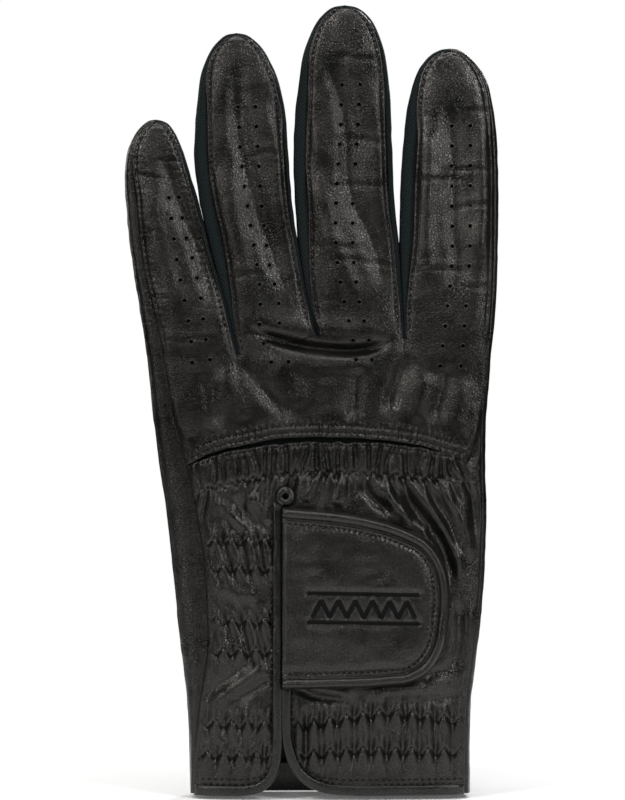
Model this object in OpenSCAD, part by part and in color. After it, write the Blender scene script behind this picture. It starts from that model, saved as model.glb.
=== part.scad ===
// Golf glove for the left hand, standing with its fingers up and its thumb folded over the palm.
// +Z runs from the wrist to the fingertips, -Y out of the back of the hand, +X to the index finger's side.
// The origin is the middle of the wrist opening.

/* [Leather and cloth] */
// Thickness of the glove leather
leather_t = 0.8; // [0.5:0.1:1]
// Thickness of the stretch cloth between the fingers
cloth_t = 0.7; // [0.5:0.1:1]
// Gap left between two pieces that lie on each other
lay_gap = 0.1; // [0.05:0.05:0.2]

/* [Hand] */
// Half the glove's thickness at the wrist opening
wrist_half = 11; // [9:0.5:13]
// Half the glove's thickness across the palm
palm_half = 10; // [8:0.5:12]
// Half the glove's thickness at the roots of the fingers
root_half = 6.8; // [6:0.2:8]
// Height of the line that the fingers bend about
hinge_z = 147; // [145:1:149]
// Height of the lowest crotch, between the little and the ring finger
crotch_low = 133; // [130:1:135]
// Height of the other two crotches
crotch_high = 138; // [136:1:140]

/* [Knuckle slit] */
// Height of the slit's upper lip at its middle
slit_top = 108; // [104:1:112]
// How far the slit's ends drop below its middle
slit_drop = 8; // [4:1:12]
// Widest opening of the slit
slit_open = 2.2; // [1:0.1:3]

/* [Closure tab] */
// Where the tab is sewn on, across the hand
tab_x = -14.3; // [-16:0.1:-12]
// Length of the tab from that line to its round end
tab_len = 50; // [44:1:54]
// Height of the tab's lower edge
tab_low = 32.7; // [30:0.1:36]
// Width of the tab at its root
tab_wide = 54; // [48:1:58]
// Thickness of each layer of the tab
tab_layer = 0.8; // [0.6:0.1:1]

/* [Hidden] */

LEATHER = [0.10, 0.10, 0.10];
CLOTH = [0.09, 0.13, 0.14];
TRIM = [0.07, 0.07, 0.07];

finger_gap = 0.4;         // slack between a moving finger and the hand at the back
notch = 6.8;              // how far the front stands back from the bend line, on both sides
palm_cells = 4;           // cells across one finger's stretch of a panel

// ---- curves ----
function lerp(a, b, t) = a + (b - a) * t;
function bez(p, t) = p[0] * pow(1 - t, 3) + 3 * p[1] * t * pow(1 - t, 2)
    + 3 * p[2] * t * t * (1 - t) + p[3] * pow(t, 3);
function linspace(a, b, n) = [for (i = [0:n]) lerp(a, b, i / n)];

// the value of x at height z on one of the hand's edges, by halving
function t_at(p, z, lo = 0, hi = 1, n = 14) = n == 0 ? (lo + hi) / 2
    : bez(p, (lo + hi) / 2)[1] < z ? t_at(p, z, (lo + hi) / 2, hi, n - 1)
    : t_at(p, z, lo, (lo + hi) / 2, n - 1);
function x_at(p, z) = bez(p, t_at(p, z))[0];

// ---- hand outline, as [x, z] ----
LITTLE_EDGE = [[-41.8, -1], [-43.4, 45], [-50.6, 92], [-57.7, 150]];
INDEX_EDGE = [[42.2, -1], [42.6, 50], [48.3, 75], [50.0, 150]];
function left_x(z) = x_at(LITTLE_EDGE, z);
function right_x(z) = x_at(INDEX_EDGE, z);
function mid_x(z) = (left_x(z) + right_x(z)) / 2;
function half_x(z) = (right_x(z) - left_x(z)) / 2;
function hand_half(z) = z < 100 ? lerp(wrist_half, palm_half, z / 100)
    : lerp(palm_half, root_half, pow(min(1, (z - 100) / (hinge_z - 100)), 1.6));

// depth of the hand's rounded section at x: 1 on the middle, 0 on the outline
FLATNESS = 3.5;
ROUNDNESS = 2.2;
function bulge(s) = pow(max(0, 1 - pow(min(1, abs(s)), FLATNESS)), 1 / ROUNDNESS);
function hand_y(x, z) = hand_half(z) * bulge((x - mid_x(z)) / half_x(z));

// ---- knuckle slit ----
slit_mid_x = 2;
slit_half = 44;
function slit_z(x) = slit_top - slit_drop * pow((x - slit_mid_x) / slit_half, 2);
function slit_gap(x) = x > 34 ? 0.3 : max(0.3, slit_open * (1 - pow((x + 3) / 37, 2)));

// ---- fingers: outline from the bend line to the shoulder, then a round tip ----
// [left edge, right edge, tip, half thickness, left inset, right inset of the back's seams]
LITTLE = [[[-57.7, 147], [-60.2, 162], [-61.9, 176], [-61.9, 190]],
    [[-30.6, 147], [-34.4, 162], [-39.5, 178], [-44.3, 193]], [-52.6, 204], 5.6, 4.5, 1.2];
RING = [[[-30.0, 147], [-33.0, 161], [-41.3, 180], [-41.1, 205]],
    [[-8.0, 147], [-9.2, 162], [-13.3, 183], [-13.3, 205]], [-28.0, 230], 6.2, 4.2, 1.5];
MIDDLE = [[[-5.0, 147], [-7.5, 163], [-10.9, 182], [-10.7, 203]],
    [[21.2, 147], [20.6, 162], [19.0, 184], [18.7, 203]], [4.5, 238.3], 6.6, 4.5, 1.5];
INDEX = [[[22.1, 147], [21.3, 162], [20.9, 180], [22.0, 195]],
    [[50.0, 147], [50.7, 162], [51.0, 180], [50.7, 195]], [36.3, 225.2], 6.5, 3.8, 1.5];
FINGERS = [LITTLE, RING, MIDDLE, INDEX];

// the thumb lies over the palm: its own [x, z] outline, and how far its middle is from the hand's
THUMB = [[[41.5, 46], [24, 54], [2, 74], [-14, 96]],
    [[41.5, 98], [32, 99], [18, 105], [4, 117]], [-17, 117], 4.6, 1.5, 1.5, 4.8];
thumb_y = 16;

SHOULDER = 1;    // row parameter: 0 at the root, 1 at the shoulder, 2 at the tip
TIP_POWER = 2;
function cap_angle(s) = 90 * (s - SHOULDER);
function cap_mid(f) = (bez(f[0], 1) + bez(f[1], 1)) / 2;
function squeeze(f, s, inset) = 1 - inset / (norm(bez(f[1], 1) - bez(f[0], 1)) / 2);
// a point of the outline at row s, on side -1 or 1, drawn in by inset
function rim(f, s, side, inset) = s <= SHOULDER
    ? let (l = bez(f[0], s), r = bez(f[1], s), m = (l + r) / 2, a = (r - l) / 2)
        m + side * a * (1 - inset / norm(a))
    : let (m = cap_mid(f), a = (bez(f[1], 1) - bez(f[0], 1)) / 2, up = f[2] - m, k = squeeze(f, s, inset))
        m + side * a * k * cos(cap_angle(s)) + up * k * sin(cap_angle(s));
function spine(f, s) = s <= SHOULDER ? (bez(f[0], s) + bez(f[1], s)) / 2 : cap_mid(f);
// seams close up towards the tip
function seam_share(s) = s < SHOULDER ? 1 : lerp(1, 0.35, s - SHOULDER);
function finger_half(f, s) = s < SHOULDER ? lerp(is_undef(f[6]) ? root_half : f[6], f[3], min(1, 2.5 * s))
    : f[3] * lerp(1, 0.62, pow(s - SHOULDER, 2));
EDGE_SHARE = 0.74;   // depth of the seams, as a share of the half thickness

// ---- solids from grids of points ----
// outer and inner are grids of the same size; cells where keep() is false are left out
function quad(a, b, c, d) = [[a, b, c], [a, c, d]];
function kept(mask, i, j) = i >= 0 && j >= 0 && i < len(mask) && j < len(mask[0]) && mask[i][j];
module sheet(outer, inner, mask = undef) {
    n = len(outer);
    m = len(outer[0]);
    on = is_undef(mask) ? [for (i = [0:n - 2]) [for (j = [0:m - 2]) true]] : mask;
    at = function(i, j, k) k * n * m + i * m + j;
    faces = [for (i = [0:n - 2]) for (j = [0:m - 2]) if (on[i][j]) each concat(
        quad(at(i, j, 0), at(i, j + 1, 0), at(i + 1, j + 1, 0), at(i + 1, j, 0)),
        quad(at(i, j, 1), at(i + 1, j, 1), at(i + 1, j + 1, 1), at(i, j + 1, 1)),
        kept(on, i - 1, j) ? [] : quad(at(i, j, 0), at(i, j, 1), at(i, j + 1, 1), at(i, j + 1, 0)),
        kept(on, i + 1, j) ? []
            : quad(at(i + 1, j + 1, 0), at(i + 1, j + 1, 1), at(i + 1, j, 1), at(i + 1, j, 0)),
        kept(on, i, j - 1) ? [] : quad(at(i + 1, j, 0), at(i + 1, j, 1), at(i, j, 1), at(i, j, 0)),
        kept(on, i, j + 1) ? []
            : quad(at(i, j + 1, 0), at(i, j + 1, 1), at(i + 1, j + 1, 1), at(i + 1, j + 1, 0)))];
    polyhedron(concat([for (row = outer) each row], [for (row = inner) each row]), faces);
}

// ---- finger pieces ----
ROWS_STRAIGHT = 5;
ROWS_CAP = [1.2, 1.45, 1.7, 1.88];
function rows_from(s0) = concat(linspace(s0, SHOULDER, ROWS_STRAIGHT), ROWS_CAP);
function s_above(f, dz) = dz / (bez(f[0], 1)[1] - bez(f[0], 0)[1]);
function arch(u) = 1 - (1 - EDGE_SHARE) * u * u;

// the flat of a finger: face -1 is the back of the hand, 1 the palm;
// lift is how far inside the skin it starts
function finger_flat(f, face, s0, inset_l, inset_r, lift, y0 = 0) = [for (s = rows_from(s0))
    let (l = rim(f, s, -1, inset_l * seam_share(s) + 0.05), r = rim(f, s, 1, inset_r * seam_share(s) + 0.05))
    [for (u = [-1:0.5:1]) let (p = lerp(l, r, (u + 1) / 2))
        [p[0], y0 + face * (finger_half(f, s) * arch(u) - lift), p[1]]]];
module finger_sheet(f, face, s0, inset_l, inset_r, y0 = 0)
    if (face < 0) sheet(finger_flat(f, face, s0, inset_l, inset_r, 0, y0),
        finger_flat(f, face, s0, inset_l, inset_r, leather_t, y0));
    else sheet(finger_flat(f, face, s0, inset_l, inset_r, leather_t, y0),
        finger_flat(f, face, s0, inset_l, inset_r, 0, y0));

// one side of a finger, from the back's seam round the outline to the front's seam
WALL = [0, 0.18, 0.5, 0.82, 1];
function wall_grid(f, side, s0, s1, inset_b, inset_f, lift, y0 = 0) = [for (k = [0:8])
    [for (w = WALL)
        let (s = lerp(lerp(s0, s1, w), 2, k / 8), edge = finger_half(f, s) * EDGE_SHARE - leather_t - lay_gap,
            out = 1 - pow(abs(2 * w - 1), 2.2),
            inset = (w < 0.5 ? inset_b : inset_f) * seam_share(s) * (1 - out),
            p = rim(f, s, side, inset + 0.02), c = spine(f, s), d = c - p)
        [p[0] + d[0] / norm(d) * lift, y0 + lerp(-edge, edge, w), p[1] + d[1] / norm(d) * lift]]];
module finger_wall(f, side, s0, s1, inset_b, inset_f, y0 = 0) {
    outer = wall_grid(f, side, s0, s1, inset_b, inset_f, 0, y0);
    inner = wall_grid(f, side, s0, s1, inset_b, inset_f, cloth_t, y0);
    if (side < 0) sheet(inner, outer);
    else sheet(outer, inner);
}

// the little finger's front and the index finger's back run on round the outside of the finger
WRAP = [0, 0.15, 0.4, 0.65, 0.88];
function wrap_grid(f, face, side, s0, s1, inset_far, inset_near, lift) = let (rows = 8)
    [for (k = [0:rows]) let (
        s_far = lerp(s1, 1.9, k / rows), s_near = lerp(s0, 1.9, k / rows), h = finger_half(f, s_near),
        l = rim(f, s_near, -1, inset_near * seam_share(s_near) + lift * 0.5),
        r = rim(f, s_near, 1, inset_near * seam_share(s_near) + lift * 0.5),
        flat = [for (u = [-1:0.5:1]) let (p = lerp(l, r, (u + 1) / 2))
            [p[0], face * (h * arch(u) - lift), p[1]]],
        wall = [for (w = WRAP) let (
            s = lerp(s_far, s_near, w), edge = finger_half(f, s) * EDGE_SHARE,
            y = lerp(-(edge - leather_t - lay_gap), edge, w), out = 1 - pow(abs(2 * w - 1), 2.2),
            inset = (w < 0.5 ? inset_far : inset_near) * seam_share(s) * (1 - out),
            p = rim(f, s, side, inset + 0.02), c = spine(f, s), d = c - p)
            [p[0] + d[0] / norm(d) * lift, face * y, p[1] + d[1] / norm(d) * lift]])
        side < 0 ? concat(wall, flat) : concat(flat, [for (i = [len(wall) - 1:-1:0]) wall[i]])];
module wrap_sheet(f, face, side, s0, s1, inset_far, inset_near)
    if (face < 0) sheet(wrap_grid(f, face, side, s0, s1, inset_far, inset_near, 0),
        wrap_grid(f, face, side, s0, s1, inset_far, inset_near, leather_t));
    else sheet(wrap_grid(f, face, side, s0, s1, inset_far, inset_near, leather_t),
        wrap_grid(f, face, side, s0, s1, inset_far, inset_near, 0));
module finger_back(f) color(LEATHER) finger_sheet(f, -1, s_above(f, finger_gap), f[4], f[5]);
module finger_front(f) color(LEATHER) finger_sheet(f, 1, s_above(f, notch), f[5], f[5]);
module fourchette(f, side) color(CLOTH)
    finger_wall(f, side, s_above(f, finger_gap), s_above(f, notch), side < 0 ? f[4] : f[5], f[5]);

// ---- hand panels ----
// a point of the glove at x, z on face -1 (back) or 1 (palm), lift below the leather's outer face
function hand_point(x, z, face, lift) = let (m = mid_x(z), a = half_x(z), s = min(1, abs(x - m) / a))
    [m + (x - m) * (a - lift) / a, face * (hand_half(z) - lift) * bulge(s), z];
module laid(face, rows, lift, t) {
    high = [for (row = rows) [for (p = row) hand_point(p[0], p[1], face, lift)]];
    low = [for (row = rows) [for (p = row) hand_point(p[0], p[1], face, lift + t)]];
    if (face < 0) sheet(high, low);
    else sheet(low, high);
}

// where each finger's stretch starts and ends across a panel, with the crotches between them
CROTCH = [[-27.6, crotch_low], [-3.6, crotch_high], [22.2, crotch_high]];
slot_half = 0.5;
function root_edge(i, side, z) =
    let (k = side < 0 ? i - 1 : i, outer = k < 0 || k > 2,
        top = bez(FINGERS[i][side < 0 ? 0 : 1], 0)[0], low = outer ? 0 : CROTCH[k][0] - side * slot_half)
    outer ? (side < 0 ? left_x(z) : right_x(z))
        : z > CROTCH[k][1] ? lerp(low, top, (z - CROTCH[k][1]) / (hinge_z - CROTCH[k][1])) : low;
function across(z, x0, x1) = [for (i = [0:3]) each
    let (l = i == 0 ? x0 : root_edge(i, -1, z), r = i == 3 ? x1 : root_edge(i, 1, z))
        i < 3 ? linspace(l, r, palm_cells) : [for (k = [0:palm_cells]) lerp(l, r, sin(90 * k / palm_cells))]];
function is_slot(j) = j >= 0 && j % (palm_cells + 1) == palm_cells;
slots = 4 * (palm_cells + 1) - 1;
edge_in = 0.01;
function seam_x(z) = mid_x(z) - half_x(z) * lerp(0.93, 0.84, max(0, 1 - abs(1 - z / 75)));

KNUCKLE_ROWS = [0, 0.3, 0.65, 1];
KNUCKLE_Z = [crotch_high, 142.5, hinge_z - finger_gap];
function knuckle_grid(lift) = concat(
    [for (q = KNUCKLE_ROWS) let (zl = lerp(slit_z(-45), crotch_low, q), zr = lerp(slit_z(47), crotch_low, q))
        [for (x = across(crotch_low, seam_x(zl), right_x(zr) - edge_in))
            hand_point(x, lerp(slit_z(x), crotch_low, q), -1, lift)]],
    [for (z = KNUCKLE_Z) [for (x = across(z, seam_x(z), right_x(z) - edge_in)) hand_point(x, z, -1, lift)]]);
module knuckle_panel() {
    first = len(KNUCKLE_ROWS) - 1;
    mask = [for (i = [0:first + len(KNUCKLE_Z) - 1]) [for (j = [0:slots - 1])
        !(is_slot(j) && (i > first || (i == first && j == palm_cells)))]];
    color(LEATHER) sheet(knuckle_grid(0), knuckle_grid(leather_t), mask);
}

// the palm wraps the little finger's side and ends at the seam on the back
PALM_Z = [0, 15, 30, 50, 70, 90, 110, 124, crotch_low, crotch_high, hinge_z - notch];
PALM_WRAP = [0.35, 0.7, 1];
function palm_row(z, lift) = let (m = mid_x(z), a = half_x(z), s0 = (m - seam_x(z)) / a + 0.012,
    back = [for (k = PALM_WRAP) hand_point(m - a * lerp(s0, 1, sin(90 * (k - 0.35) / 0.65)), z, -1, lift)],
    side = hand_point(m - a * 0.985, z, 1, lift))
    concat(back, [side], [for (x = across(z, m - a * 0.93, right_x(z) - edge_in)) hand_point(x, z, 1, lift)]);
module palm_panel() {
    lead = len(PALM_WRAP) + 1;
    first = len(PALM_Z) - 3;
    mask = [for (i = [0:len(PALM_Z) - 2]) [for (j = [0:slots + lead - 1])
        !(is_slot(j - lead) && (i > first || (i == first && j - lead == palm_cells)))]];
    color(LEATHER) sheet([for (z = PALM_Z) palm_row(z, leather_t)], [for (z = PALM_Z) palm_row(z, 0)], mask);
}

// the wrist panel, from the slit down to the cuff, split below by the vent
vent_top = 88;
VENT = [tab_x - 1.9, tab_x + 0.5];
function vent_corner(d, reach, rise) = d > reach ? 0 : rise * (1 - sqrt(1 - pow(1 - d / reach, 2)));
function cuff_z(x) = 1.2 + (x < tab_x ? vent_corner(VENT[0] - x, 7, 14.5) : vent_corner(x - VENT[1], 13, 14));
WRIST_ROWS = [0, 0.15, 0.32, 0.5, 0.7, 0.85, 1];
LEFT_U = [0, 0.2, 0.4, 0.6, 0.75, 0.85, 0.93, 1];
RIGHT_U = [0, 0.04, 0.09, 0.16, 0.26, 0.4, 0.55, 0.7, 0.82, 0.9, 0.96, 1];
function wrist_row(q, lift) = let (
    zl = q > 1 ? lerp(vent_top, slit_z(-43), q - 1) : lerp(cuff_z(-37), vent_top, q),
    zr = q > 1 ? lerp(vent_top, slit_z(46.5), q - 1) : lerp(cuff_z(42), vent_top, q),
    x0 = seam_x(zl), x1 = right_x(zr) - edge_in)
    [for (x = concat([for (u = LEFT_U) lerp(x0, VENT[0], u)], [for (u = RIGHT_U) lerp(VENT[1], x1, u)]))
        let (z = q > 1 ? lerp(vent_top, slit_z(x) - slit_gap(x), q - 1) : lerp(cuff_z(x), vent_top, q))
        hand_point(x, z, -1, lift)];
WRIST_Q = concat(WRIST_ROWS, [1.5, 2]);
module wrist_panel() {
    outer = [for (q = WRIST_Q) wrist_row(q, 0)];
    inner = [for (q = WRIST_Q) wrist_row(q, leather_t)];
    mask = [for (i = [0:len(WRIST_Q) - 2]) [for (j = [0:len(LEFT_U) + len(RIGHT_U) - 2])
        !(j == len(LEFT_U) - 1 && i < len(WRIST_ROWS) - 1)]];
    color(LEATHER) sheet(outer, inner, mask);
}

// a strip from x0 to x1, its lower and upper edge as functions of x
module strip(face, x0, x1, low, high, lift, t, nx = 10, nz = 2)
    laid(face, [for (j = [0:nz]) [for (x = linspace(x0, x1, nx))
        [x, lerp(low(x), high(x), j / nz)]]], lift, t);
under = leather_t + 0.45;   // the lining lies a little free of the leather
over = 1.15;                // and the bindings lie on it
module stretch_insert() color(CLOTH)
    strip(-1, -43, 43, function(x) slit_z(x) - 9, function(x) slit_z(x) + 5, under, 0.6, 16);
module knuckle_elastic() color(TRIM)
    strip(-1, -42, 42, function(x) slit_z(x) - 15, function(x) slit_z(x) - 4, under + 0.7, 0.6, 16);
module wrist_elastic() color(TRIM)
    strip(-1, -38, VENT[0] - 1, function(x) 40, function(x) 80, under, 0.6, 6, 4);
module cuff_elastic() color(TRIM) {
    strip(-1, -37, VENT[0] - 8, function(x) 12, function(x) 24, under, 0.6, 6);
    strip(-1, VENT[1] + 14, 38, function(x) 11, function(x) 25, under, 0.6, 8);
}
module palm_elastic() color(TRIM)
    strip(1, -30, 30, function(x) 22, function(x) 34, under, 0.6, 10);
module vent_binding_little() color(TRIM)
    strip(-1, VENT[0] - 3, VENT[0] + 0.2, function(x) 18, function(x) vent_top - 1, -over, 0.8, 2, 6);
module vent_binding_index() color(TRIM)
    strip(-1, VENT[1] + 0.1, VENT[1] + 2.1, function(x) 18, function(x) 31, -over, 0.8, 2, 3);
module vent_bartack() {
    y = hand_point(tab_x, 90.3, -1, 0)[1];
    color(TRIM) translate([tab_x + 0.9, y - 0.1, 90.3]) rotate([90, 0, 0]) {
        cylinder(h = 0.8, d = 5.4, $fn = 24);
        translate([0, 0, 0.8]) cylinder(h = 0.9, d1 = 5.4, d2 = 3, $fn = 24);
    }
}
// folded bindings along the cuff
module cuff_binding(x0, x1) color(TRIM)
    strip(-1, x0, x1, function(x) cuff_z(x), function(x) cuff_z(x) + 3.2, -over, 0.8, 14, 1);
module cuff_binding_little() cuff_binding(-38.5, VENT[0] - 0.4);
module cuff_binding_index() cuff_binding(VENT[1] + 0.4, 40);
module palm_hem() color(TRIM)
    strip(1, -38, 39, function(x) 0.2, function(x) 3.4, -over, 0.8, 16, 1);
module loop_patch() color(TRIM)
    strip(-1, -6, 37, function(x) 38, function(x) 80, -0.9, 0.8, 10, 6);
module size_label() color([0.6, 0.6, 0.6])
    strip(1, -7, 7, function(x) 5, function(x) 14, under, 0.5, 4, 2);

// cloth between two finger roots, round the crotch
FORK_W = [0, 0.5, 1];
function fork_grid(k, lift) = let (c = CROTCH[k], a = bez(FINGERS[k][1], 0), b = bez(FINGERS[k + 1][0], 0))
    [for (q = [-1, -0.6, -0.25, 0, 0.25, 0.6, 1])
        [for (w = FORK_W) let (
            top = hinge_z - lerp(finger_gap, notch, w), g = abs(q), end = q < 0 ? a[0] : b[0],
            reach = (top - c[1]) / (hinge_z - c[1]), turn = q < 0 ? -1 : 1,
            from = c[0] + turn * slot_half,
            x = g == 0 ? c[0] : lerp(from, lerp(from, end, reach), (g - 0.25) / 0.75),
            z = g == 0 ? c[1] - 1 : lerp(c[1], top, (g - 0.25) / 0.75),
            y = hand_half(z) * bulge((x - mid_x(z)) / half_x(z)) - under - 0.05)
            [x + (g == 0 ? 0 : turn * lift), lerp(-y, y, w), z - (g == 0 ? lift : 0)]]];
module fork(k) color(CLOTH) sheet(fork_grid(k, 0), fork_grid(k, cloth_t));

// ---- thumb, folded over the palm ----
module thumb_outer() color(LEATHER) finger_sheet(THUMB, 1, 0, 1.5, 1.5, thumb_y);
module thumb_inner() color(LEATHER) finger_sheet(THUMB, -1, 0, 1.5, 1.5, thumb_y);
module thumb_side_low() color(LEATHER) finger_wall(THUMB, -1, 0, 0, 1.5, 1.5, thumb_y);
module thumb_side_top() color(LEATHER) finger_wall(THUMB, 1, 0, 0, 1.5, 1.5, thumb_y);
module thumb_gusset() color(LEATHER)
    strip(1, 34, 43, function(x) 46, function(x) 100, -1.6, 1.5, 5, 6);

// ---- closure tab ----
cap_start = 22;
function tab_mid(x) = tab_low + tab_wide / 2 - 1.9 * (x - tab_x) / tab_len;
function tab_high(x) = tab_wide / 2 * (1 - 0.14 * pow((x - tab_x) / tab_len, 1.3))
    * sqrt(max(0, 1 - pow(max(0, (x - cap_start) / (tab_x + tab_len + 0.1 - cap_start)), 2)));
TAB_X = [0, 0.15, 0.3, 0.45, 0.6, 0.72, 0.8, 0.87, 0.93, 0.97, 0.99];
// rows across the tab, inset from its outline
function tab_rows(inset) = [for (v = [-1:0.25:1]) [for (u = TAB_X)
    let (x = lerp(tab_x + 0.2, tab_x + tab_len, u), k = 1 - inset / (tab_wide / 2),
        x_in = tab_x + 0.2 + (x - tab_x - 0.2) * (1 - inset / tab_len))
    [x_in, tab_mid(x) + v * tab_high(x) * k]]];
// heights of the layers' outer faces above the hand's leather
hook_out = 1.9;
backing_out = hook_out + lay_gap + 0.5;
stiff_out = backing_out + lay_gap + 0.5;
tab_out = stiff_out + lay_gap + tab_layer;
roll_out = tab_out + lay_gap + 0.6;
module tab_backing() color(LEATHER) laid(-1, tab_rows(0.6), -backing_out, 0.5);
module tab_stiffener() color(TRIM) laid(-1, tab_rows(2.5), -stiff_out, 0.5);
module tab_leather() color(LEATHER) laid(-1, tab_rows(0.4), -tab_out, tab_layer);
module hook_patch() color(TRIM)
    laid(-1, [for (v = [-1:0.25:1]) [for (u = TAB_X) let (x = lerp(-3, 34, u))
        [x, tab_mid(x) + v * tab_high(x) * 0.72]]],
        -hook_out, 0.7);
// the rolled edge lies on the tab's leather all round
function tab_rim(t, inset) = let (a = t < 0.36 ? 0 : t > 0.64 ? 1 : (t - 0.36) / 0.28,
    x = t < 0.36 ? lerp(tab_x + 0.4, cap_start, t / 0.36)
        : t > 0.64 ? lerp(cap_start, tab_x + 0.4, (t - 0.64) / 0.36)
        : cap_start + (tab_x + tab_len - cap_start - 0.3) * sin(180 * a), side = t < 0.5 ? 1 : -1,
    x_in = t < 0.36 || t > 0.64 ? x
        : cap_start + (x - cap_start) * (1 - inset / (tab_len + tab_x - cap_start)))
    [x_in, tab_mid(x) + side * max(0, tab_high(x) - inset * (abs(t - 0.5) < 0.001 ? 1 : abs(cos(180 * a))))];
module tab_edge_roll() color(LEATHER)
    laid(-1, [for (inset = [0.3, 1.5, 2.8]) [for (k = [0:28]) tab_rim(k / 28, inset)]], -roll_out, 0.6);
// embroidered zigzag between two lines
motif_z = 57.5;
module motif_line(z, w)
    strip(-1, -7, 27, function(x) z - w / 2, function(x) z + w / 2, -tab_out - 0.55, 0.5, 8, 1);
module tab_motif() color([0.16, 0.16, 0.16]) {
    motif_line(motif_z + 4, 0.9);
    motif_line(motif_z - 4, 0.9);
    laid(-1, [for (d = [-0.7, 0.7]) [for (k = [0:12])
        [-6 + k * 32 / 12, motif_z + d + (k % 2 == 0 ? -2 : 2)]]],
        -tab_out - 0.55, 0.5);
}

// ---- pieces of each finger ----
module little_back() finger_back(LITTLE);
module ring_back() finger_back(RING);
module middle_back() finger_back(MIDDLE);
module ring_front() finger_front(RING);
module middle_front() finger_front(MIDDLE);
module index_front() finger_front(INDEX);
module little_front() color(LEATHER)
    wrap_sheet(LITTLE, 1, -1, s_above(LITTLE, notch), s_above(LITTLE, finger_gap), 4.5, 1.2);
module index_back() color(LEATHER)
    wrap_sheet(INDEX, -1, 1, s_above(INDEX, finger_gap), s_above(INDEX, notch), 1.5, 1.5);
module little_fourchette() fourchette(LITTLE, 1);
module ring_fourchette_outer() fourchette(RING, -1);
module ring_fourchette_inner() fourchette(RING, 1);
module middle_fourchette_outer() fourchette(MIDDLE, -1);
module middle_fourchette_inner() fourchette(MIDDLE, 1);
module index_fourchette() fourchette(INDEX, -1);
module fork_little_ring() fork(0);
module fork_ring_middle() fork(1);
module fork_middle_index() fork(2);

knuckle_panel();
palm_panel();
wrist_panel();
stretch_insert();
knuckle_elastic();
wrist_elastic();
cuff_elastic();
palm_elastic();
vent_binding_little();
vent_binding_index();
vent_bartack();
cuff_binding_little();
cuff_binding_index();
palm_hem();
loop_patch();
size_label();
fork_little_ring();
fork_ring_middle();
fork_middle_index();
thumb_gusset();
little_back();
little_front();
little_fourchette();
ring_back();
ring_front();
ring_fourchette_outer();
ring_fourchette_inner();
middle_back();
middle_front();
middle_fourchette_outer();
middle_fourchette_inner();
index_back();
index_front();
index_fourchette();
thumb_outer();
thumb_inner();
thumb_side_low();
thumb_side_top();
tab_leather();
tab_stiffener();
tab_backing();
tab_edge_roll();
tab_motif();
hook_patch();
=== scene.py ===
import math

import bpy
import numpy as np
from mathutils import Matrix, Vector


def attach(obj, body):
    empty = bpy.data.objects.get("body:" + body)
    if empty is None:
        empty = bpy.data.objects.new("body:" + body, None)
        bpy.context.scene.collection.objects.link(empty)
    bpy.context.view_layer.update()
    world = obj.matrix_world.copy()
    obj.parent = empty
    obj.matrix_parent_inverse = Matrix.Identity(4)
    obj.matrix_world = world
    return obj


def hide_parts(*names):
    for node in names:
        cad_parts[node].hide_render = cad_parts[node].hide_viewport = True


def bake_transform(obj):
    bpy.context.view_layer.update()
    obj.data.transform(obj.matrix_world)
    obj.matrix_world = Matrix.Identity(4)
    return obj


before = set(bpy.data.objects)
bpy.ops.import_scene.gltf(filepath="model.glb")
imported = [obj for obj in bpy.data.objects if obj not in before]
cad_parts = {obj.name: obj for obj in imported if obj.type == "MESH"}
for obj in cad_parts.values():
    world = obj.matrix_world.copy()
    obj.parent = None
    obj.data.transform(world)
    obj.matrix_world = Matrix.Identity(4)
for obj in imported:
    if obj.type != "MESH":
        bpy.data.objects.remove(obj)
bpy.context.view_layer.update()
MM = 0.001
STITCH = 1.9  # mm from one stitch to the next
THREAD = 1.3  # mm of thread that shows in each
ZIGZAG = 4.9  # mm from one zigzag to the next
PROUD = 0.25  # mm that a sheet lies above the strips beside it
TIP = 0.9985  # share of a finger's outline at which its sheets end

# ------------------------------------------------------------------ camera, light, floor
scene = bpy.context.scene
scene.view_settings.view_transform = "Standard"
camera = bpy.data.objects.new("camera", bpy.data.cameras.new("camera"))
scene.collection.objects.link(camera)
camera.data.lens = 150
camera.location = (-0.00525, -1.006, 0.1191)
camera.rotation_euler = (math.pi / 2, 0, 0)
scene.camera = camera

world = bpy.data.worlds.new("world")
world.use_nodes = True
wt = world.node_tree
seen = wt.nodes.new("ShaderNodeLightPath")
amount = wt.nodes.new("ShaderNodeMix")
amount.inputs["A"].default_value, amount.inputs["B"].default_value = 0.02, 1.0
wt.links.new(seen.outputs["Is Camera Ray"], amount.inputs["Factor"])
wt.links.new(amount.outputs["Result"], wt.nodes["Background"].inputs["Strength"])
wt.nodes["Background"].inputs["Color"].default_value = (1, 1, 1, 1)
scene.world = world


def light(name, at, aim, size, power, colour=(1, 1, 1)):
    data = bpy.data.lights.new(name, "AREA")
    data.shape, data.size, data.size_y = "RECTANGLE", size[0], size[1]
    data.energy, data.color = power, colour
    o = bpy.data.objects.new(name, data)
    scene.collection.objects.link(o)
    o.location = at
    o.rotation_euler = (Vector(aim) - Vector(at)).to_track_quat("-Z", "Y").to_euler()


light("top", (0.0, -0.12, 1.0), (0, -0.05, 0.0), (0.7, 0.5), 4.6)
light("key_left", (-0.62, -0.62, 0.82), (0, 0, 0.12), (0.26, 0.26), 4.2, (1.0, 0.97, 0.93))
light("key_right", (0.6, -0.66, 0.8), (0, 0, 0.12), (0.26, 0.26), 3.8)
light("side_left", (-0.78, -0.8, 0.3), (0, 0, 0.1), (0.2, 0.34), 1.5, (1.0, 0.97, 0.93))
light("side_right", (0.78, -0.8, 0.32), (0, 0, 0.1), (0.2, 0.34), 1.9)
light("front", (-0.2, -1.35, 0.68), (0, 0, 0.12), (0.3, 0.2), 1.7)
light("back_key", (0.45, 0.85, 0.75), (0, 0, 0.12), (0.35, 0.3), 7)
light("back_side", (-0.8, 0.5, 0.4), (0, 0, 0.12), (0.2, 0.5), 2.5)


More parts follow.
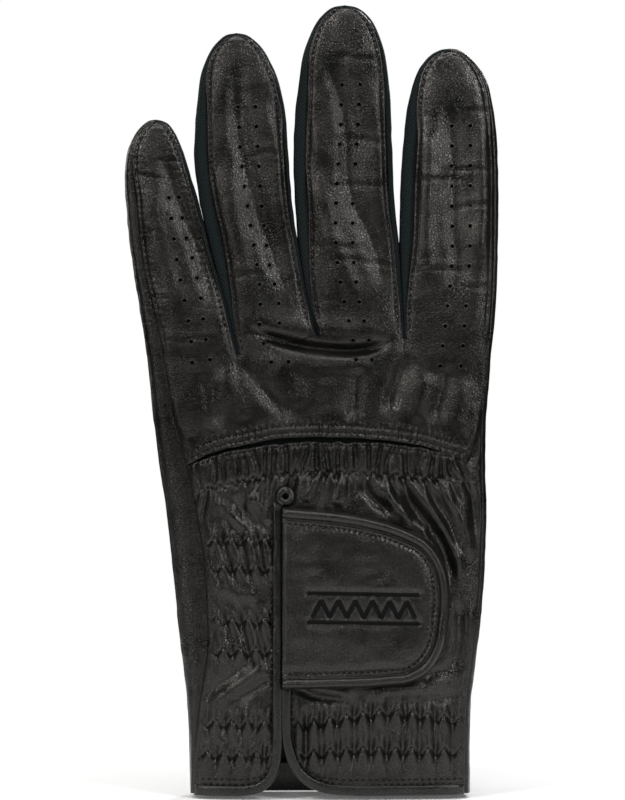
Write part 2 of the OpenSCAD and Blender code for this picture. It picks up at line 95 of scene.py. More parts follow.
# ------------------------------------------------------------------ small numeric helpers
def smooth(t):
    t = np.clip(t, 0, 1)
    return t * t * (3 - 2 * t)


def mix(a, b, t):
    return a + (b - a) * t


def bell(v, wide, power=2):
    return np.exp(-((v / wide) ** power))


def pts(*parts):
    """Coordinate arrays joined into one array of points."""
    return np.stack(parts, -1)


def crowd(count, share=0.92):
    """Steps from -1 to 1 that crowd together at both ends."""
    return np.sin(np.linspace(-1, 1, count) * math.pi / 2 * share) / math.sin(math.pi / 2 * share)


def run_of(p):
    """The length along a line of points, at each point."""
    return np.r_[0, np.cumsum(np.linalg.norm(np.diff(p, axis=0), axis=1))]


def beside(q):
    """Unit vectors square to a line of [x, z] points, on its left."""
    t = np.gradient(q, axis=0)
    t /= np.linalg.norm(t, axis=1, keepdims=True)
    return pts(-t[:, 1], t[:, 0])


def hermite(u, h, p0, p1, m0, m1):
    return (
        (2 * u**3 - 3 * u**2 + 1) * p0 + (u**3 - 2 * u**2 + u) * h * m0
        + (-2 * u**3 + 3 * u**2) * p1 + (u**3 - u**2) * h * m1
    )


def curve(points):
    """A smooth path through points: a function of 0..1, by share of the length."""
    p = np.array(points, float)
    d = run_of(p)
    d /= d[-1]
    m = np.zeros_like(p)
    slope = np.diff(p, axis=0) / np.diff(d)[:, None]
    m[0], m[-1] = slope[0], slope[-1]
    for i in range(1, len(p) - 1):
        a, b = d[i] - d[i - 1], d[i + 1] - d[i]
        m[i] = (slope[i - 1] * b + slope[i] * a) / (a + b)

    def at(t):
        t = np.clip(np.asarray(t, float), 0, 1)
        k = np.clip(np.searchsorted(d, t, side="right") - 1, 0, len(p) - 2)
        h = d[k + 1] - d[k]
        u = ((t - d[k]) / h)[..., None]
        return hermite(u, h[..., None], p[k], p[k + 1], m[k], m[k + 1])

    return at


def along(points):
    """x as a smooth function of z (or any second coordinate), points given as (x, z) with z rising."""
    p = np.array(points, float)
    z, x = p[:, 1], p[:, 0]
    s = np.diff(x) / np.diff(z)
    m = np.r_[s[0], (s[:-1] + s[1:]) / 2, s[-1]]

    def at(q):
        q = np.asarray(q, float)
        k = np.clip(np.searchsorted(z, q, side="right") - 1, 0, len(z) - 2)
        h = z[k + 1] - z[k]
        u = (q - z[k]) / h
        inside = hermite(u, h, x[k], x[k + 1], m[k], m[k + 1])
        inside = np.where(q < z[0], x[0] + m[0] * (q - z[0]), inside)
        return np.where(q > z[-1], x[-1] + m[-1] * (q - z[-1]), inside)

    return at


def lattice(ix, iy, seed):
    h = (ix.astype(np.int64) * 374761393 + iy.astype(np.int64) * 668265263 + seed * 2147483647) & 0xFFFFFFFF
    h = ((h ^ (h >> 13)) * 1274126177) & 0xFFFFFFFF
    return ((h ^ (h >> 16)) & 0xFFFF) / 32767.5 - 1


def noise(x, y, seed=1):
    """Smooth value noise between -1 and 1, one cell per unit."""
    x, y = np.broadcast_arrays(np.asarray(x, float), np.asarray(y, float))
    ix, iy = np.floor(x), np.floor(y)
    u, v = smooth(x - ix), smooth(y - iy)
    a, b = lattice(ix, iy, seed), lattice(ix + 1, iy, seed)
    c, d = lattice(ix, iy + 1, seed), lattice(ix + 1, iy + 1, seed)
    return mix(mix(a, b, u), mix(c, d, u), v)


def fractal(x, y, seed=1, octaves=3):
    return sum(noise(x * 2**k, y * 2**k, seed + 7 * k) / 1.8**k for k in range(octaves))


def near(x, z, path, n=60):
    """Distance from each x, z to a path of (x, z) points, and the share along it."""
    q = curve(path)(np.linspace(0, 1, n))
    best = np.full(x.shape, 1e9)
    share = np.zeros(x.shape)
    for k in range(n - 1):
        a, d = q[k], q[k + 1] - q[k]
        t = np.clip(((x - a[0]) * d[0] + (z - a[1]) * d[1]) / (d @ d), 0, 1)
        ex, ez = x - a[0] - t * d[0], z - a[1] - t * d[1]
        r = np.hypot(ex, ez)
        hit = r < best
        best = np.where(hit, r, best)
        share = np.where(hit, (k + t) / (n - 1), share)
    return best, share


def fold(x, z, path, height, width, fade=0.25):
    """A soft ridge (or a crease where height is negative) along a path, dying out at both ends."""
    x, z = np.broadcast_arrays(np.asarray(x, float), np.asarray(z, float))
    out = np.zeros(x.shape)
    p, r = np.array(path), 3 * width
    on = (x > p[:, 0].min() - r) & (x < p[:, 0].max() + r) & (z > p[:, 1].min() - r) & (z < p[:, 1].max() + r)
    if on.any():
        d, t = near(x[on], z[on], path, 16)
        out[on] = height * bell(d, width) * smooth(t / fade) * smooth((1 - t) / fade)
    return out


# ------------------------------------------------------------------ outlines, mm, [x, z]
HAND_LEFT = along([(-42, 0), (-43.2, 27.6), (-46.2, 54.6), (-48.9, 81.6), (-52.8, 108.6), (-55.3, 132.6),
    (-57.9, 149)])
HAND_RIGHT = along([(42.2, 0), (42.6, 27.6), (45.7, 54.6), (47.2, 81.6), (47.0, 108.6), (48.6, 131), (50.3, 150)])
BACK_SEAM = along([(-41.3, 2), (-39.6, 24), (-36.8, 45), (-36.9, 56), (-38.7, 76.8), (-42.6, 97.2), (-47.4, 115.8),
    (-50.1, 132), (-52.8, 150)])

CROTCH = [(-27.6, 132.6), (-3.6, 138.3), (22.5, 137.4)]
ROOT_Z = {"little": 132.6, "ring": 138.3, "middle": 138.3, "index": 137.4}
LEFT_Z, RIGHT_Z = ROOT_Z["little"], ROOT_Z["index"]
# left outline, right outline, from the crotch up to the fingertip
OUT = {
    "little": (
        [(-55.3, 132.6), (-57.9, 149), (-60, 162.6), (-61.5, 177), (-61.8, 189.6), (-61, 194.3), (-59.0, 198.9),
        (-56.2, 202.2), (-54.5, 203.35), (-52.5, 203.7)],
        [(-27.55, 132.6), (-31.6, 149), (-36.1, 165), (-39.3, 178), (-43.0, 190.2), (-44.7, 195.4), (-46.6, 199.6),
        (-49.0, 202.6), (-50.8, 203.4), (-52.5, 203.7)]),
    "ring": (
        [(-27.65, 132.6), (-31.75, 149), (-36.2, 165), (-39.3, 178), (-41.1, 194), (-40.2, 207.6), (-38.2, 219.6),
        (-34.0, 227.0), (-31.3, 229.15), (-28.2, 229.8)],
        [(-3.55, 138.3), (-6.6, 149), (-9.3, 164), (-11.2, 178), (-12.5, 194), (-13.7, 207.6), (-16.8, 218.8),
        (-22.3, 227.2), (-25.2, 229.2), (-28.2, 229.8)]),
    "middle": (
        [(-3.65, 138.3), (-6.7, 149), (-9.2, 164), (-10.6, 178), (-11.1, 194), (-10.0, 211), (-7.0, 226.6),
        (-2.6, 234.8), (0.7, 237.45), (4.5, 238.2)],
        [(22.55, 137.4), (21.5, 152), (20.5, 168), (19.3, 183), (18.8, 198), (17.8, 215), (15.6, 227), (11.6, 234.8),
        (8.3, 237.4), (4.5, 238.2)]),
    "index": (
        [(22.45, 137.4), (21.4, 152), (20.9, 168), (21.2, 183), (22.2, 198), (24.3, 212), (27.4, 219.8),
        (31.4, 223.8), (33.8, 224.8), (36.2, 225.1)],
        [(49.3, 137.4), (50.4, 153.6), (50.8, 171.6), (50.7, 192), (49.6, 205), (47.6, 214.4), (44.2, 220.6),
        (40.2, 224.0), (38.3, 224.85), (36.2, 225.1)]),
}
# how far the back's seams stand in from the outline: left and right, at the root, the middle and the tip
INSET_BACK = {"little": ((5.2, 3.4, 1.2), (0.5, 0.8, 0.8)), "ring": ((0.6, 4.2, 1.0), (0.6, 1.0, 0.8)),
              "middle": ((0.6, 3.6, 1.0), (0.6, 1.6, 0.9)), "index": ((0.6, 3.8, 1.0), (1.6, 1.6, 0.9))}
INSET_FRONT = {"little": ((4.6, 2.2, 1.1), (0.5, 1.6, 0.9)), "ring": ((0.5, 1.8, 0.9), (0.5, 1.8, 0.9)),
               "middle": ((0.5, 1.8, 0.9), (0.5, 1.8, 0.9)), "index": ((0.5, 1.8, 0.9), (4.2, 2.0, 1.0))}
HALF = {"little": (6.9, 5.7), "ring": (6.9, 6.3), "middle": (6.9, 6.7), "index": (6.9, 6.5)}
NAMES = ["little", "ring", "middle", "index"]
EDGE = 0.72


def arch(u, p=2.6, q=0.62):
    return np.clip(1 - np.abs(u) ** p, 0, 1) ** q


class Finger:
    def __init__(self, name):
        self.name = name
        self.i = NAMES.index(name)
        self.l, self.r = curve(OUT[name][0]), curve(OUT[name][1])

    def inset(self, s, face, side):
        a, b, c = (INSET_BACK if face < 0 else INSET_FRONT)[self.name][side]
        return np.where(s < 0.55, mix(a, b, smooth(s / 0.38)), mix(b, c, smooth((s - 0.6) / 0.34)))

    def seam(self, s, face, side):
        """[x, z] of the seam on a face (-1 back, 1 palm) and side (0 left, 1 right), at share s of the outline."""
        s = np.asarray(s, float)
        f = self.l if side == 0 else self.r
        e = 1e-3
        p, d = f(s), f(np.clip(s + e, 0, 1)) - f(np.clip(s - e, 0, 1))
        d = d / np.linalg.norm(d, axis=-1, keepdims=True)
        n = pts(d[..., 1], -d[..., 0]) * (1 if side == 0 else -1)
        n = mix(n, np.array([0, -1.0]), smooth((s - 0.93) / 0.07)[..., None])
        # at the root the step in is level, so the seam meets the hand's panel
        n = mix(np.array([1.0 if side == 0 else -1.0, 0]), n, smooth(s / 0.2)[..., None])
        return p + n * self.inset(s, face, side)[..., None]

    def half(self, s):
        a, b = HALF[self.name]
        return mix(a, b, smooth(s / 0.4)) * (1 - 0.62 * np.clip((s - 0.72) / 0.28, 0, 1) ** 2.2)


FINGER = {n: Finger(n) for n in NAMES}


# ------------------------------------------------------------------ the hand's section
def half_hand(z):
    z = np.asarray(z, float)
    return mix(10.9, 10.0, np.clip(z / 90, 0, 1)) - 3.2 * smooth((z - 95) / 55)


def edge_hand(z):
    return 0.62 * half_hand(z)


def seam_left(z, face):
    return BACK_SEAM(z) if face < 0 else HAND_LEFT(z) + mix(5.0, 4.6, np.clip(z / 130, 0, 1))


def seam_right(z, face):
    return HAND_RIGHT(z) - (1.7 if face < 0 else 4.2)


def hand_height(x, z, face):
    a, b = seam_left(z, face), seam_right(z, face)
    u = np.clip(2 * (x - a) / (b - a) - 1, -1, 1)
    whole = mix(edge_hand(z), half_hand(z), arch(u))
    # the four finger stretches
    cuts = [a] + [np.full(np.shape(z), c[0]) for c in CROTCH] + [b]
    ripple = np.zeros(np.shape(x))
    for i in range(4):
        inside = (x >= cuts[i]) & (x <= cuts[i + 1]) if i else x <= cuts[1]
        if i == 3:
            inside = x > cuts[3]
        v = np.clip(2 * (x - cuts[i]) / (cuts[i + 1] - cuts[i]) - 1, -1, 1)
        ripple = np.where(inside, 6.9 * mix(EDGE, 1, arch(v)), ripple)
    return mix(whole, ripple, finger_share(z, x))


def finger_share(z, x):
    zc = np.interp(x, [-55, -27.6, -3.6, 22.5, 50], [132.6, 132.6, 138.3, 137.4, 137.4])
    return smooth((z - zc + 16) / 30)


def finger_surface(f, s, u, face):
    """[x, y, z] on the back or palm of a finger: s from crotch to tip, u from -1 to 1 across."""
    a, b = f.seam(s, face, 0), f.seam(s, face, 1)
    p = mix(a, b, ((u + 1) / 2)[..., None])
    own = f.half(s) * mix(EDGE, 1, arch(u))
    whole = hand_height(p[..., 0], p[..., 1], face)
    y = mix(whole, own, finger_share(p[..., 1], p[..., 0]))
    return pts(p[..., 0], face * y, p[..., 1])


# ------------------------------------------------------------------ folds and gathers of the back
SLIT_TOP = [(-42.6, 99.8), (-35.1, 103.4), (-25.5, 105.6), (-14.7, 107.7), (-4.2, 108), (6.6, 107.8), (18.3, 106.8),
    (27, 105.5), (34, 103.5), (46.6, 100.6)]
SLIT_LOW = [(-42.8, 99.4), (-33, 102.9), (-22.2, 104.9), (-15.9, 105.8), (-9.3, 106.3), (6.6, 106.4), (18.3, 105.9),
    (27, 104.7), (34, 103.4), (46.6, 100.6)]
slit_top_line = along([(z, x) for x, z in SLIT_TOP])
slit_low_line = along([(z, x) for x, z in SLIT_LOW])
SHIRR = [(-41, 97.6), (-37, 92.2), (-17, 96.4), (-6, 97.2), (10, 97.0), (24, 96.2), (35, 95.2)]
shirr = along([(z, x) for x, z in SHIRR[1:]])


def slit_top(x):
    return slit_top_line(x) + 0.12 * noise(x / 3.1, 0 * x, 71)


def slit_low(x):
    return slit_low_line(x) + 0.3 * noise(x / 2.4, 0 * x, 72) * smooth((36 - np.abs(x)) / 8)


def slit_gap(x):
    """1 where the slit stands open, 0 where it is closed."""
    return np.clip((slit_top(x) - slit_low(x)) / 2.2, 0, 1)


def shirr_wave(x):
    return 0.8 * (2 * np.abs(2 * ((x / 3.3) % 1) - 1) - 1)


def pleats(x, z, pitch, seed, sharp=1.0, wander=0.8):
    """Upright gathers with uneven spacing, from 0 in the creases to 1 on the crests."""
    phase = (
        x / pitch + wander
        * (0.55 * noise(x / (2.2 * pitch), z / 13, seed) + 0.3 * noise(x / pitch, z / 9, seed + 3))
    )
    return np.abs(np.cos(math.pi * phase)) ** sharp


def zigzag_z(x, z0, seed=0):
    return z0 + 1.5 * (2 * np.abs(2 * ((x / ZIGZAG + 0.5 * seed) % 1) - 1) - 1)


ZIG_ROWS_LITTLE = [76.8, 68.7, 52.8, 43.8]
ZIG_CUFF_LEFT = [22.2, 12.9]


def zig_cuff_right(x, k):
    """Height of the cuff's upper (0) and lower (1) zigzag row on the index finger's side."""
    if k == 0:
        return np.interp(x, [-12.9, 12, 18.3, 40.2], [21, 25.2, 25.8, 22.8])
    return np.interp(x, [-5.7, 8.4, 36.3], [13.2, 14.4, 13.8])


def edge_fade(x, z):
    """Relief dies out at the hand's outer edges."""
    return smooth((x - BACK_SEAM(z)) / 2.5 + 0.1) * smooth((seam_right(z, -1) - x) / 3 + 0.1)


def back_relief(x, z):
    """How far the back's leather stands out from its plain shape, in mm."""
    d = 0.35 * fractal(x / 9, z / 14, 11, 2) + 0.03 * fractal(x / 2.6, z / 2.2, 21, 2)
    top, low, sh = slit_top(x), slit_low(x), shirr(x)
    # gathers between the slit and the shirring, and the ones that run on below it
    band = smooth((z - sh + 1) / 2) * smooth((low - z + 0.3) / 1.6)
    d += 1.5 * band * (pleats(x, z, 3.5, 5, 0.7, 1.3) - 0.55) * np.where(x < 38, 1, smooth((45 - x) / 7))
    below = np.clip((sh - z) / 26, 0, 1)
    reach = (z < sh) * (1 - below) ** 1.6 * np.where(x < -14, 1.0, 1.15)
    slant = x - 0.35 * np.clip(sh - z, 0, 40) * np.clip((x - 2) / 30, -0.6, 1.0)
    d += (
        1.6 * reach * (pleats(slant, z, 3.8, 9, 0.75) - 0.5) * np.exp(-((sh - z) / 5.5))
        * smooth((46 - np.abs(x)) / 6)
    )
    d += (
        mix(1.7, 0.5, smooth((x + 6) / 10)) * reach * (pleats(slant + 1.2, z, 6.5, 10, 0.8, 0.5) - 0.5)
        * smooth((sh - z) / 6) * smooth((46 - np.abs(x)) / 6)
    )
    # stitched rows pull the leather in
    for row, depth, wide in ((low - 0.8, 0.4, 0.6), (top + 1.5, 0.45, 0.6), (top + 3.6, 0.5, 0.7)):
        on = smooth((x + 43) / 3) * smooth((42 - x) / 3)
        d -= depth * bell(z - row, wide) * on * (0.62 + 0.38 * np.cos(2 * math.pi * x / STITCH))
        d += 0.42 * bell(z - row, 1.15) * on * (0.5 - 0.5 * np.cos(2 * math.pi * x / STITCH))
    d -= 0.9 * bell(z - sh - shirr_wave(x), 0.85) * smooth((x + 40) / 3) * smooth((40 - x) / 3)
    d += 0.3 * bell(z - top - 2.55, 0.6) * smooth((x + 43) / 3) * smooth((44 - x) / 3)
    # small puckers above the slit
    up = np.clip((z - top - 3.6) / 9, 0, 1)
    d += 0.3 * (z > top + 3.6) * (1 - up) ** 2 * (pleats(x, z, 4.5, 31, 0.8) - 0.4)
    # elastic on the little finger's side of the wrist
    lit = smooth((-14.5 - x) / 3) * smooth((x - BACK_SEAM(z) - 0.5) / 3)
    for k, row in enumerate(ZIG_ROWS_LITTLE):
        w = bell(z - row, 4.4)
        d += 1.75 * lit * w * (pleats(x + 2.45 * (k % 2) + 0.3 * (z - row), z, ZIGZAG, 40 + k, 1.15, 0.25) - 0.45)
        d -= 0.6 * lit * bell(z - zigzag_z(x, row, k), 0.6)
    # elastic in the cuff
    for k, row in enumerate(ZIG_CUFF_LEFT):
        w = bell(z - row, 4.8)
        d += 1.75 * lit * w * (pleats(x + 2.45 * k, z, ZIGZAG, 50 + k, 1.15, 0.25) - 0.45)
        d -= 0.6 * lit * bell(z - zigzag_z(x, row, k + 4), 0.6)
    rgt = smooth((x + 12) / 3) * smooth((42 - x) / 4)
    for k in range(2):
        row = zig_cuff_right(x, k)
        w = bell(z - row, 4.8)
        d += 1.9 * rgt * w * (pleats(x, z, ZIGZAG, 60 + k, 1.15, 0.2) - 0.45)
        d -= 0.65 * rgt * bell(z - row - zigzag_z(x, 0, 0), 0.6)
    # large soft folds
    for path, h, w in BACK_FOLDS:
        d += fold(x, z, path, h, w)
    under_tab = smooth((1 - np.maximum(np.abs(x - 8) / 22, np.abs(z - 59.5 + 0.1 * (x - 8)) / 25)) / 0.12)
    return mix(d * edge_fade(x, z), 0.1, under_tab)


BACK_FOLDS = [
    # the roll across the roots of the ring and the middle finger
    ([(-27, 141), (-16, 137.2), (-4, 134.6), (10, 134.2), (21, 137.5)], -2.9, 1.6),
    ([(-27, 145), (-16, 142), (-4, 141), (10, 140), (21, 142)], 0.9, 3.0),
    ([(-24, 133), (-12, 130.5), (2, 129.6), (14, 130.5)], 1.0, 3.0),
    ([(-27, 132), (-21, 124), (-15, 117), (-11, 111)], -1.5, 2.6), ([(-17, 131), (-11, 124), (-7, 116)], 0.9, 3.4),
    ([(-33, 129), (-29, 121), (-24, 112)], 0.8, 3.2), ([(-38, 128), (-36, 119), (-35, 110)], -0.9, 2.4),
    ([(9, 130), (8, 121), (7, 112)], -1.1, 2.4), ([(0, 127), (0, 119), (1, 112)], 0.7, 3.4),
    ([(24, 133), (20, 124), (17, 113)], -1.5, 2.5), ([(30, 128), (27, 120), (25, 111)], 0.9, 3.4),
    ([(36, 131), (34, 121), (31, 111)], -1.0, 2.4), ([(41, 126), (39, 117), (37, 109)], 0.8, 3.0),
    ([(-50, 121), (-46, 112), (-40, 104)], 0.8, 2.6),
    # the thumb gusset's seam on the index finger's side
    ([(48, 123.6), (45.4, 114), (42, 105), (39, 99)], 0.7, 0.9), ([(49, 119), (46.6, 111), (43, 103), (40, 98)], -0.9,
    1.0),
    ([(46, 118), (42, 111), (38, 106)], 0.7, 3.0),
    # fanning down from the shirring, above and beside the tab
    ([(-11.4, 97.2), (-12, 93), (-12.6, 89.1)], -1.5, 1.6), ([(-4, 97), (-6, 92), (-8, 88)], 1.2, 1.8),
    ([(3, 96.5), (3, 91), (1, 87)], 1.4, 2.2), ([(9, 96), (12.9, 89.1), (18.9, 85.2)], -1.6, 1.5),
    ([(12.9, 96), (19, 88.6), (25, 82)], 1.6, 1.9), ([(18.9, 96), (27.9, 83.2), (33.9, 75.1), (37.5, 62)], -2.2, 1.9),
    ([(23, 95.5), (31, 86), (37, 75), (39.8, 62)], 1.5, 2.0), ([(27.9, 94), (34.5, 84.2), (39.5, 71.2)], -1.5, 1.7),
    ([(32, 94), (39, 84), (42.5, 70)], 1.3, 2.2), ([(38, 97), (43, 89), (45, 78)], -0.9, 1.8),
    ([(38.5, 60), (39, 48), (37, 37)], -1.0, 1.6), ([(42.5, 60), (43, 46), (41.5, 34)], 0.9, 2.4),
    # above the cuff
    ([(-41, 28), (-31, 35), (-20, 44)], -1.3, 2.1), ([(-37, 27), (-28, 34), (-18, 40)], 0.9,
    2.6), ([(-31, 28), (-24, 32), (-17, 37)], -0.8, 2.0),
    ([(-12.5, 34), (-4, 30.5), (6, 29.5)], -1.2, 1.4), ([(-12, 38), (-2, 33), (10, 31.5)], 1.0, 2.2),
    ([(8, 31), (22, 32.5), (38, 36)], 1.1, 2.2), ([(14, 28.5), (27, 29), (40, 31)], -0.9,
    1.6), ([(26, 36), (34, 38), (40, 42)], -0.7, 1.6),
    ([(-34, 90), (-29, 84), (-24, 80)], 1.0, 1.6), ([(-30, 91), (-25, 85), (-21, 80)], -1.0,
    1.4), ([(-24, 92), (-20, 86), (-18, 81)], 0.9, 1.5),
    ([(-34, 65), (-28, 61), (-20, 61)], 0.9, 2.4),
]


def palm_relief(x, z):
    d = 0.30 * fractal(x / 12, z / 12, 111, 3) + 0.10 * fractal(x / 2.6, z / 2.6, 121, 2)
    for path, h, w in PALM_FOLDS:
        d += fold(x, z, path, h, w)
    w = bell(z - 28, 7) * smooth((33 - np.abs(x)) / 4)
    d += 0.6 * w * (pleats(x, z, 3.0, 160, 0.8) - 0.5)
    return d


def palm_fade(x, z):
    return smooth((x - seam_left(z, 1)) / 2.5) * smooth((seam_right(z, 1) - x) / 2.5)


def top_line(x):
    return np.interp(x, [-60, -27.6, -3.6, 22.5, 60], [132.6, 132.6, 138.3, 137.4, 137.4])


PALM_FOLDS = [
    ([(34, 112), (20, 118), (0, 120), (-20, 116)], -0.9, 1.6), ([(-50, 104), (-34, 108), (-16, 103), (2, 96)], -0.9,
    1.6),
    ([(-48, 112), (-30, 117), (-10, 114)], 0.6, 3.5), ([(8, 40), (-6, 56), (-10, 76), (-4, 92)], -0.7, 1.8),
    ([(-36, 60), (-26, 66), (-14, 66)], -0.5, 1.6), ([(-38, 84), (-28, 86), (-18, 82)], -0.5, 1.6),
    ([(-20, 40), (-14, 54), (-14, 68)], 0.6, 3.0), ([(-32, 130), (-20, 127), (-8, 130)], -0.6, 1.6),
    ([(4, 131), (14, 128), (26, 131)], -0.6, 1.6), ([(-30, 14), (-16, 12), (0, 14)], 0.4, 2.2),
]


def crease_rows(s, u, face, seed):
    """Cross creases of a finger."""
    length = 95 * s
    d = 0.0
    for k, at in enumerate((8, 19, 24, 38, 45, 51, 66, 72)):
        at = at + 3.5 * lattice(np.array(k), np.array(seed), 5)
        wave = 1.2 * noise(u * 2.0, np.full(np.shape(u), k * 3.7), seed + k)
        strength = 0.32 * (0.3 + 0.7 * (lattice(np.array(k), np.array(seed), 9) > -0.2))
        side = smooth(0.5 + 1.4 * (u + 0.5 * lattice(np.array(k), np.array(seed),
            12)) * (1 if (k + seed) % 2 else -1))
        d = d - strength * side * bell(length - at - wave, 0.5) * smooth((1.05 - np.abs(u)) / 0.3)
        d = d + 0.5 * strength * side * bell(length - at - wave - 1.6, 1.3) * smooth((1.05 - np.abs(u)) / 0.3)
    return d


# long soft hollows and ridges on the backs of the fingers
DENTS = {
    "little": [([(-53, 198), (-50.1, 193), (-45.6, 180), (-39.9, 165), (-33.9, 143)], -1.5, 2.8),
        ([(-56, 188), (-52, 170), (-47, 150), (-43, 138)], 0.9, 3.2),
               ([(-47, 193), (-42, 181), (-38, 168)], 0.6, 2.2)],
    "ring": [([(-27, 224), (-27.6, 207), (-21.5, 176), (-15, 158), (-10, 143)], -1.9, 3.2),
        ([(-21, 212), (-16.5, 196), (-14.5, 178), (-12.5, 164)], 1.1, 3.0),
             ([(-33.5, 190), (-29, 172), (-25, 155), (-20, 142)], 1.2, 3.4)],
    "middle": [([(-2, 226), (5, 206), (6.9, 180), (14.5, 163), (16.5, 145)], -1.9, 3.3),
        ([(13, 217), (14.5, 200), (15, 184), (17.6, 168)], 1.1, 3.0),
               ([(-4, 190), (-1, 172), (4, 158), (9, 146)], 1.3, 3.4), ([(-5, 214), (-4, 200), (-2, 188)], 0.7, 2.6)],
    "index": [([(34, 214), (36.5, 200), (37.5, 179), (38.5, 160), (37, 146)], -1.5, 3.2),
        ([(45.5, 206), (46, 190), (46, 172), (45, 155)], 1.5, 2.8),
              ([(29, 206), (29, 188), (28.5, 170), (29, 152)], 1.5, 3.0)],
}


def finger_relief(f, s, u, face):
    p = mix(f.seam(s, face, 0), f.seam(s, face, 1), ((u + 1) / 2)[..., None])
    x, z = p[..., 0], p[..., 1]
    seed = 200 + 10 * f.i + (5 if face > 0 else 0)
    d = 0.34 * fractal(x / 8, z / 12, seed, 2) + 0.03 * fractal(x / 2.2, z / 1.8, seed + 1, 2)
    d = d + crease_rows(s, u, face, seed)
    if face < 0:
        for path, h, w in DENTS[f.name]:
            d = d + fold(x, z, path, h, w)
        for path, h, w in BACK_FOLDS[:2]:
            d = d + fold(x, z, path, h, w)
    # pulled in by the seams, in a tight row of puckers
    edge = 1 - np.abs(u)
    wide = np.linalg.norm(f.seam(s, face, 1) - f.seam(s, face, 0), axis=-1)
    e = edge * wide / 2
    pucker = 0.5 + 0.5 * np.cos(2 * math.pi * z / STITCH)
    d = d - 0.4 * bell(e - 1.15, 0.5) * (0.4 + 0.6 * pucker)
    d = d - 0.09 * bell(e - 2.4, 1.0) * (2 * pucker - 1) * smooth(s / 0.05)
    d = d * smooth(e / 0.8 + 0.15)
    hand = back_relief(x, z) if face < 0 else palm_relief(x, z) * palm_fade(x, z)
    return mix(hand, d, smooth((z - top_line(x)) / 9))


# ------------------------------------------------------------------ meshes
def link(name, verts, faces, smooth_shade=True):
    me = bpy.data.meshes.new(name)
    verts = np.asarray(verts, float) * MM
    me.vertices.add(len(verts))
    me.vertices.foreach_set("co", verts.ravel())
    faces = np.asarray(faces)
    me.loops.add(faces.size)
    me.loops.foreach_set("vertex_index", faces.ravel().astype(np.int32))
    me.polygons.add(len(faces))
    me.polygons.foreach_set("loop_start", np.arange(0, faces.size, faces.shape[1], dtype=np.int32))
    me.update(calc_edges=True)
    me.validate()
    if smooth_shade:
        me.polygons.foreach_set("use_smooth", np.ones(len(me.polygons), bool))
    o = bpy.data.objects.new(name, me)
    scene.collection.objects.link(o)
    return o


def grid_faces(n, m, base=0, mask=None, flip=False):
    i, j = np.meshgrid(np.arange(n - 1), np.arange(m - 1), indexing="ij")
    a = base + i * m + j
    q = pts(a, a + 1, a + m + 1, a + m)
    if flip:
        q = q[..., ::-1]
    q = q.reshape(-1, 4)
    return q if mask is None else q[np.asarray(mask).ravel()]


def panel(name, P, inward, mask=None, flip=False, lip=0.8, joined=None):
    """A leather sheet from a grid of points: the outer face, and a rolled edge of the leather's thickness all round.
    inward is the direction into the hand, one vector or one for each point."""
    n, m, _ = P.shape
    on = np.ones((n - 1, m - 1), bool) if mask is None else np.asarray(mask)
    faces = grid_faces(n, m, 0, on, flip)
    # edges that only one face uses
    e = np.concatenate([faces[:, [k, (k + 1) % 4]] for k in range(4)])
    key = np.sort(e, 1) @ np.array([n * m, 1])
    _, idx, count = np.unique(key, return_index=True, return_counts=True)
    rim = e[idx[count == 1]]
    if joined is not None:  # no rolled edge where the sheet runs on into its neighbour
        j = np.asarray(joined).ravel()
        rim = rim[~(j[rim[:, 0]] & j[rim[:, 1]])]
    V = P.reshape(-1, 3)
    used = np.unique(rim)
    inv = np.broadcast_to(np.asarray(inward, float), P.shape).reshape(-1, 3)[used]
    where = {v: k for k, v in enumerate(used)}
    k0 = len(V)
    V = np.concatenate([V, V[used] + inv * lip])
    low = np.array([[b, a, k0 + where[a], k0 + where[b]] for a, b in rim])
    o = link(name, V, np.concatenate([faces, low]))
    if joined is not None:
        JOINED[o.name] = np.flatnonzero(np.asarray(joined).ravel())
    return o


JOINED = {}


def weld_shading():
    """Gives points that two pieces share one common normal, so that the light runs on across the join."""
    spots = {}
    for name, ids in JOINED.items():
        me = bpy.data.objects[name].data
        for i in ids:
            v = me.vertices[int(i)]
            key = tuple(int(round(c * 12000)) for c in v.co)
            spots.setdefault(key, []).append((name, int(i), np.array(me.vertex_normals[int(i)].vector)))
    todo = {}
    for key, found in spots.items():
        group = list(found)
        for dx in (-1, 0, 1):
            for dy in (-1, 0, 1):
                for dz in (-1, 0, 1):
                    if dx or dy or dz:
                        group += spots.get((key[0] + dx, key[1] + dy, key[2] + dz), [])
        n = sum(g[2] for g in group)
        n = n / max(np.linalg.norm(n), 1e-9)
        for name, i, _ in found:
            todo.setdefault(name, {})[i] = n
    for name, fixes in todo.items():
        me = bpy.data.objects[name].data
        n = np.array([v.vector for v in me.vertex_normals])
        for i, value in fixes.items():
            n[i] = value
        me.normals_split_custom_set_from_vertices(n.tolist())


def edge_rows(shape, *sides):
    """Marks the points on the named edges of a grid."""
    every = slice(None)
    j = np.zeros(shape, bool)
    for side in sides:
        j[{"first": (0, every), "last": (-1, every), "left": (every, 0), "right": (every, -1)}[side]] = True
    return j


STEP = 0.42
pieces = {}


def finger_rows(n):
    t = np.linspace(0, 1, n)
    # rows crowd together towards the tip, where the outline turns
    return np.where(t < 0.7, t * 0.86 / 0.7, 0.86 + 0.14 * np.sin((t - 0.7) / 0.3 * math.pi / 2))


def stand_out(f, s, u, face):
    """Sheets lie a little proud of the strips between them, except where there is no seam."""
    return PROUD * smooth(s / 0.08) * (smooth((1 - u) * 2.5) if f.name == "index" and face < 0 else 1)


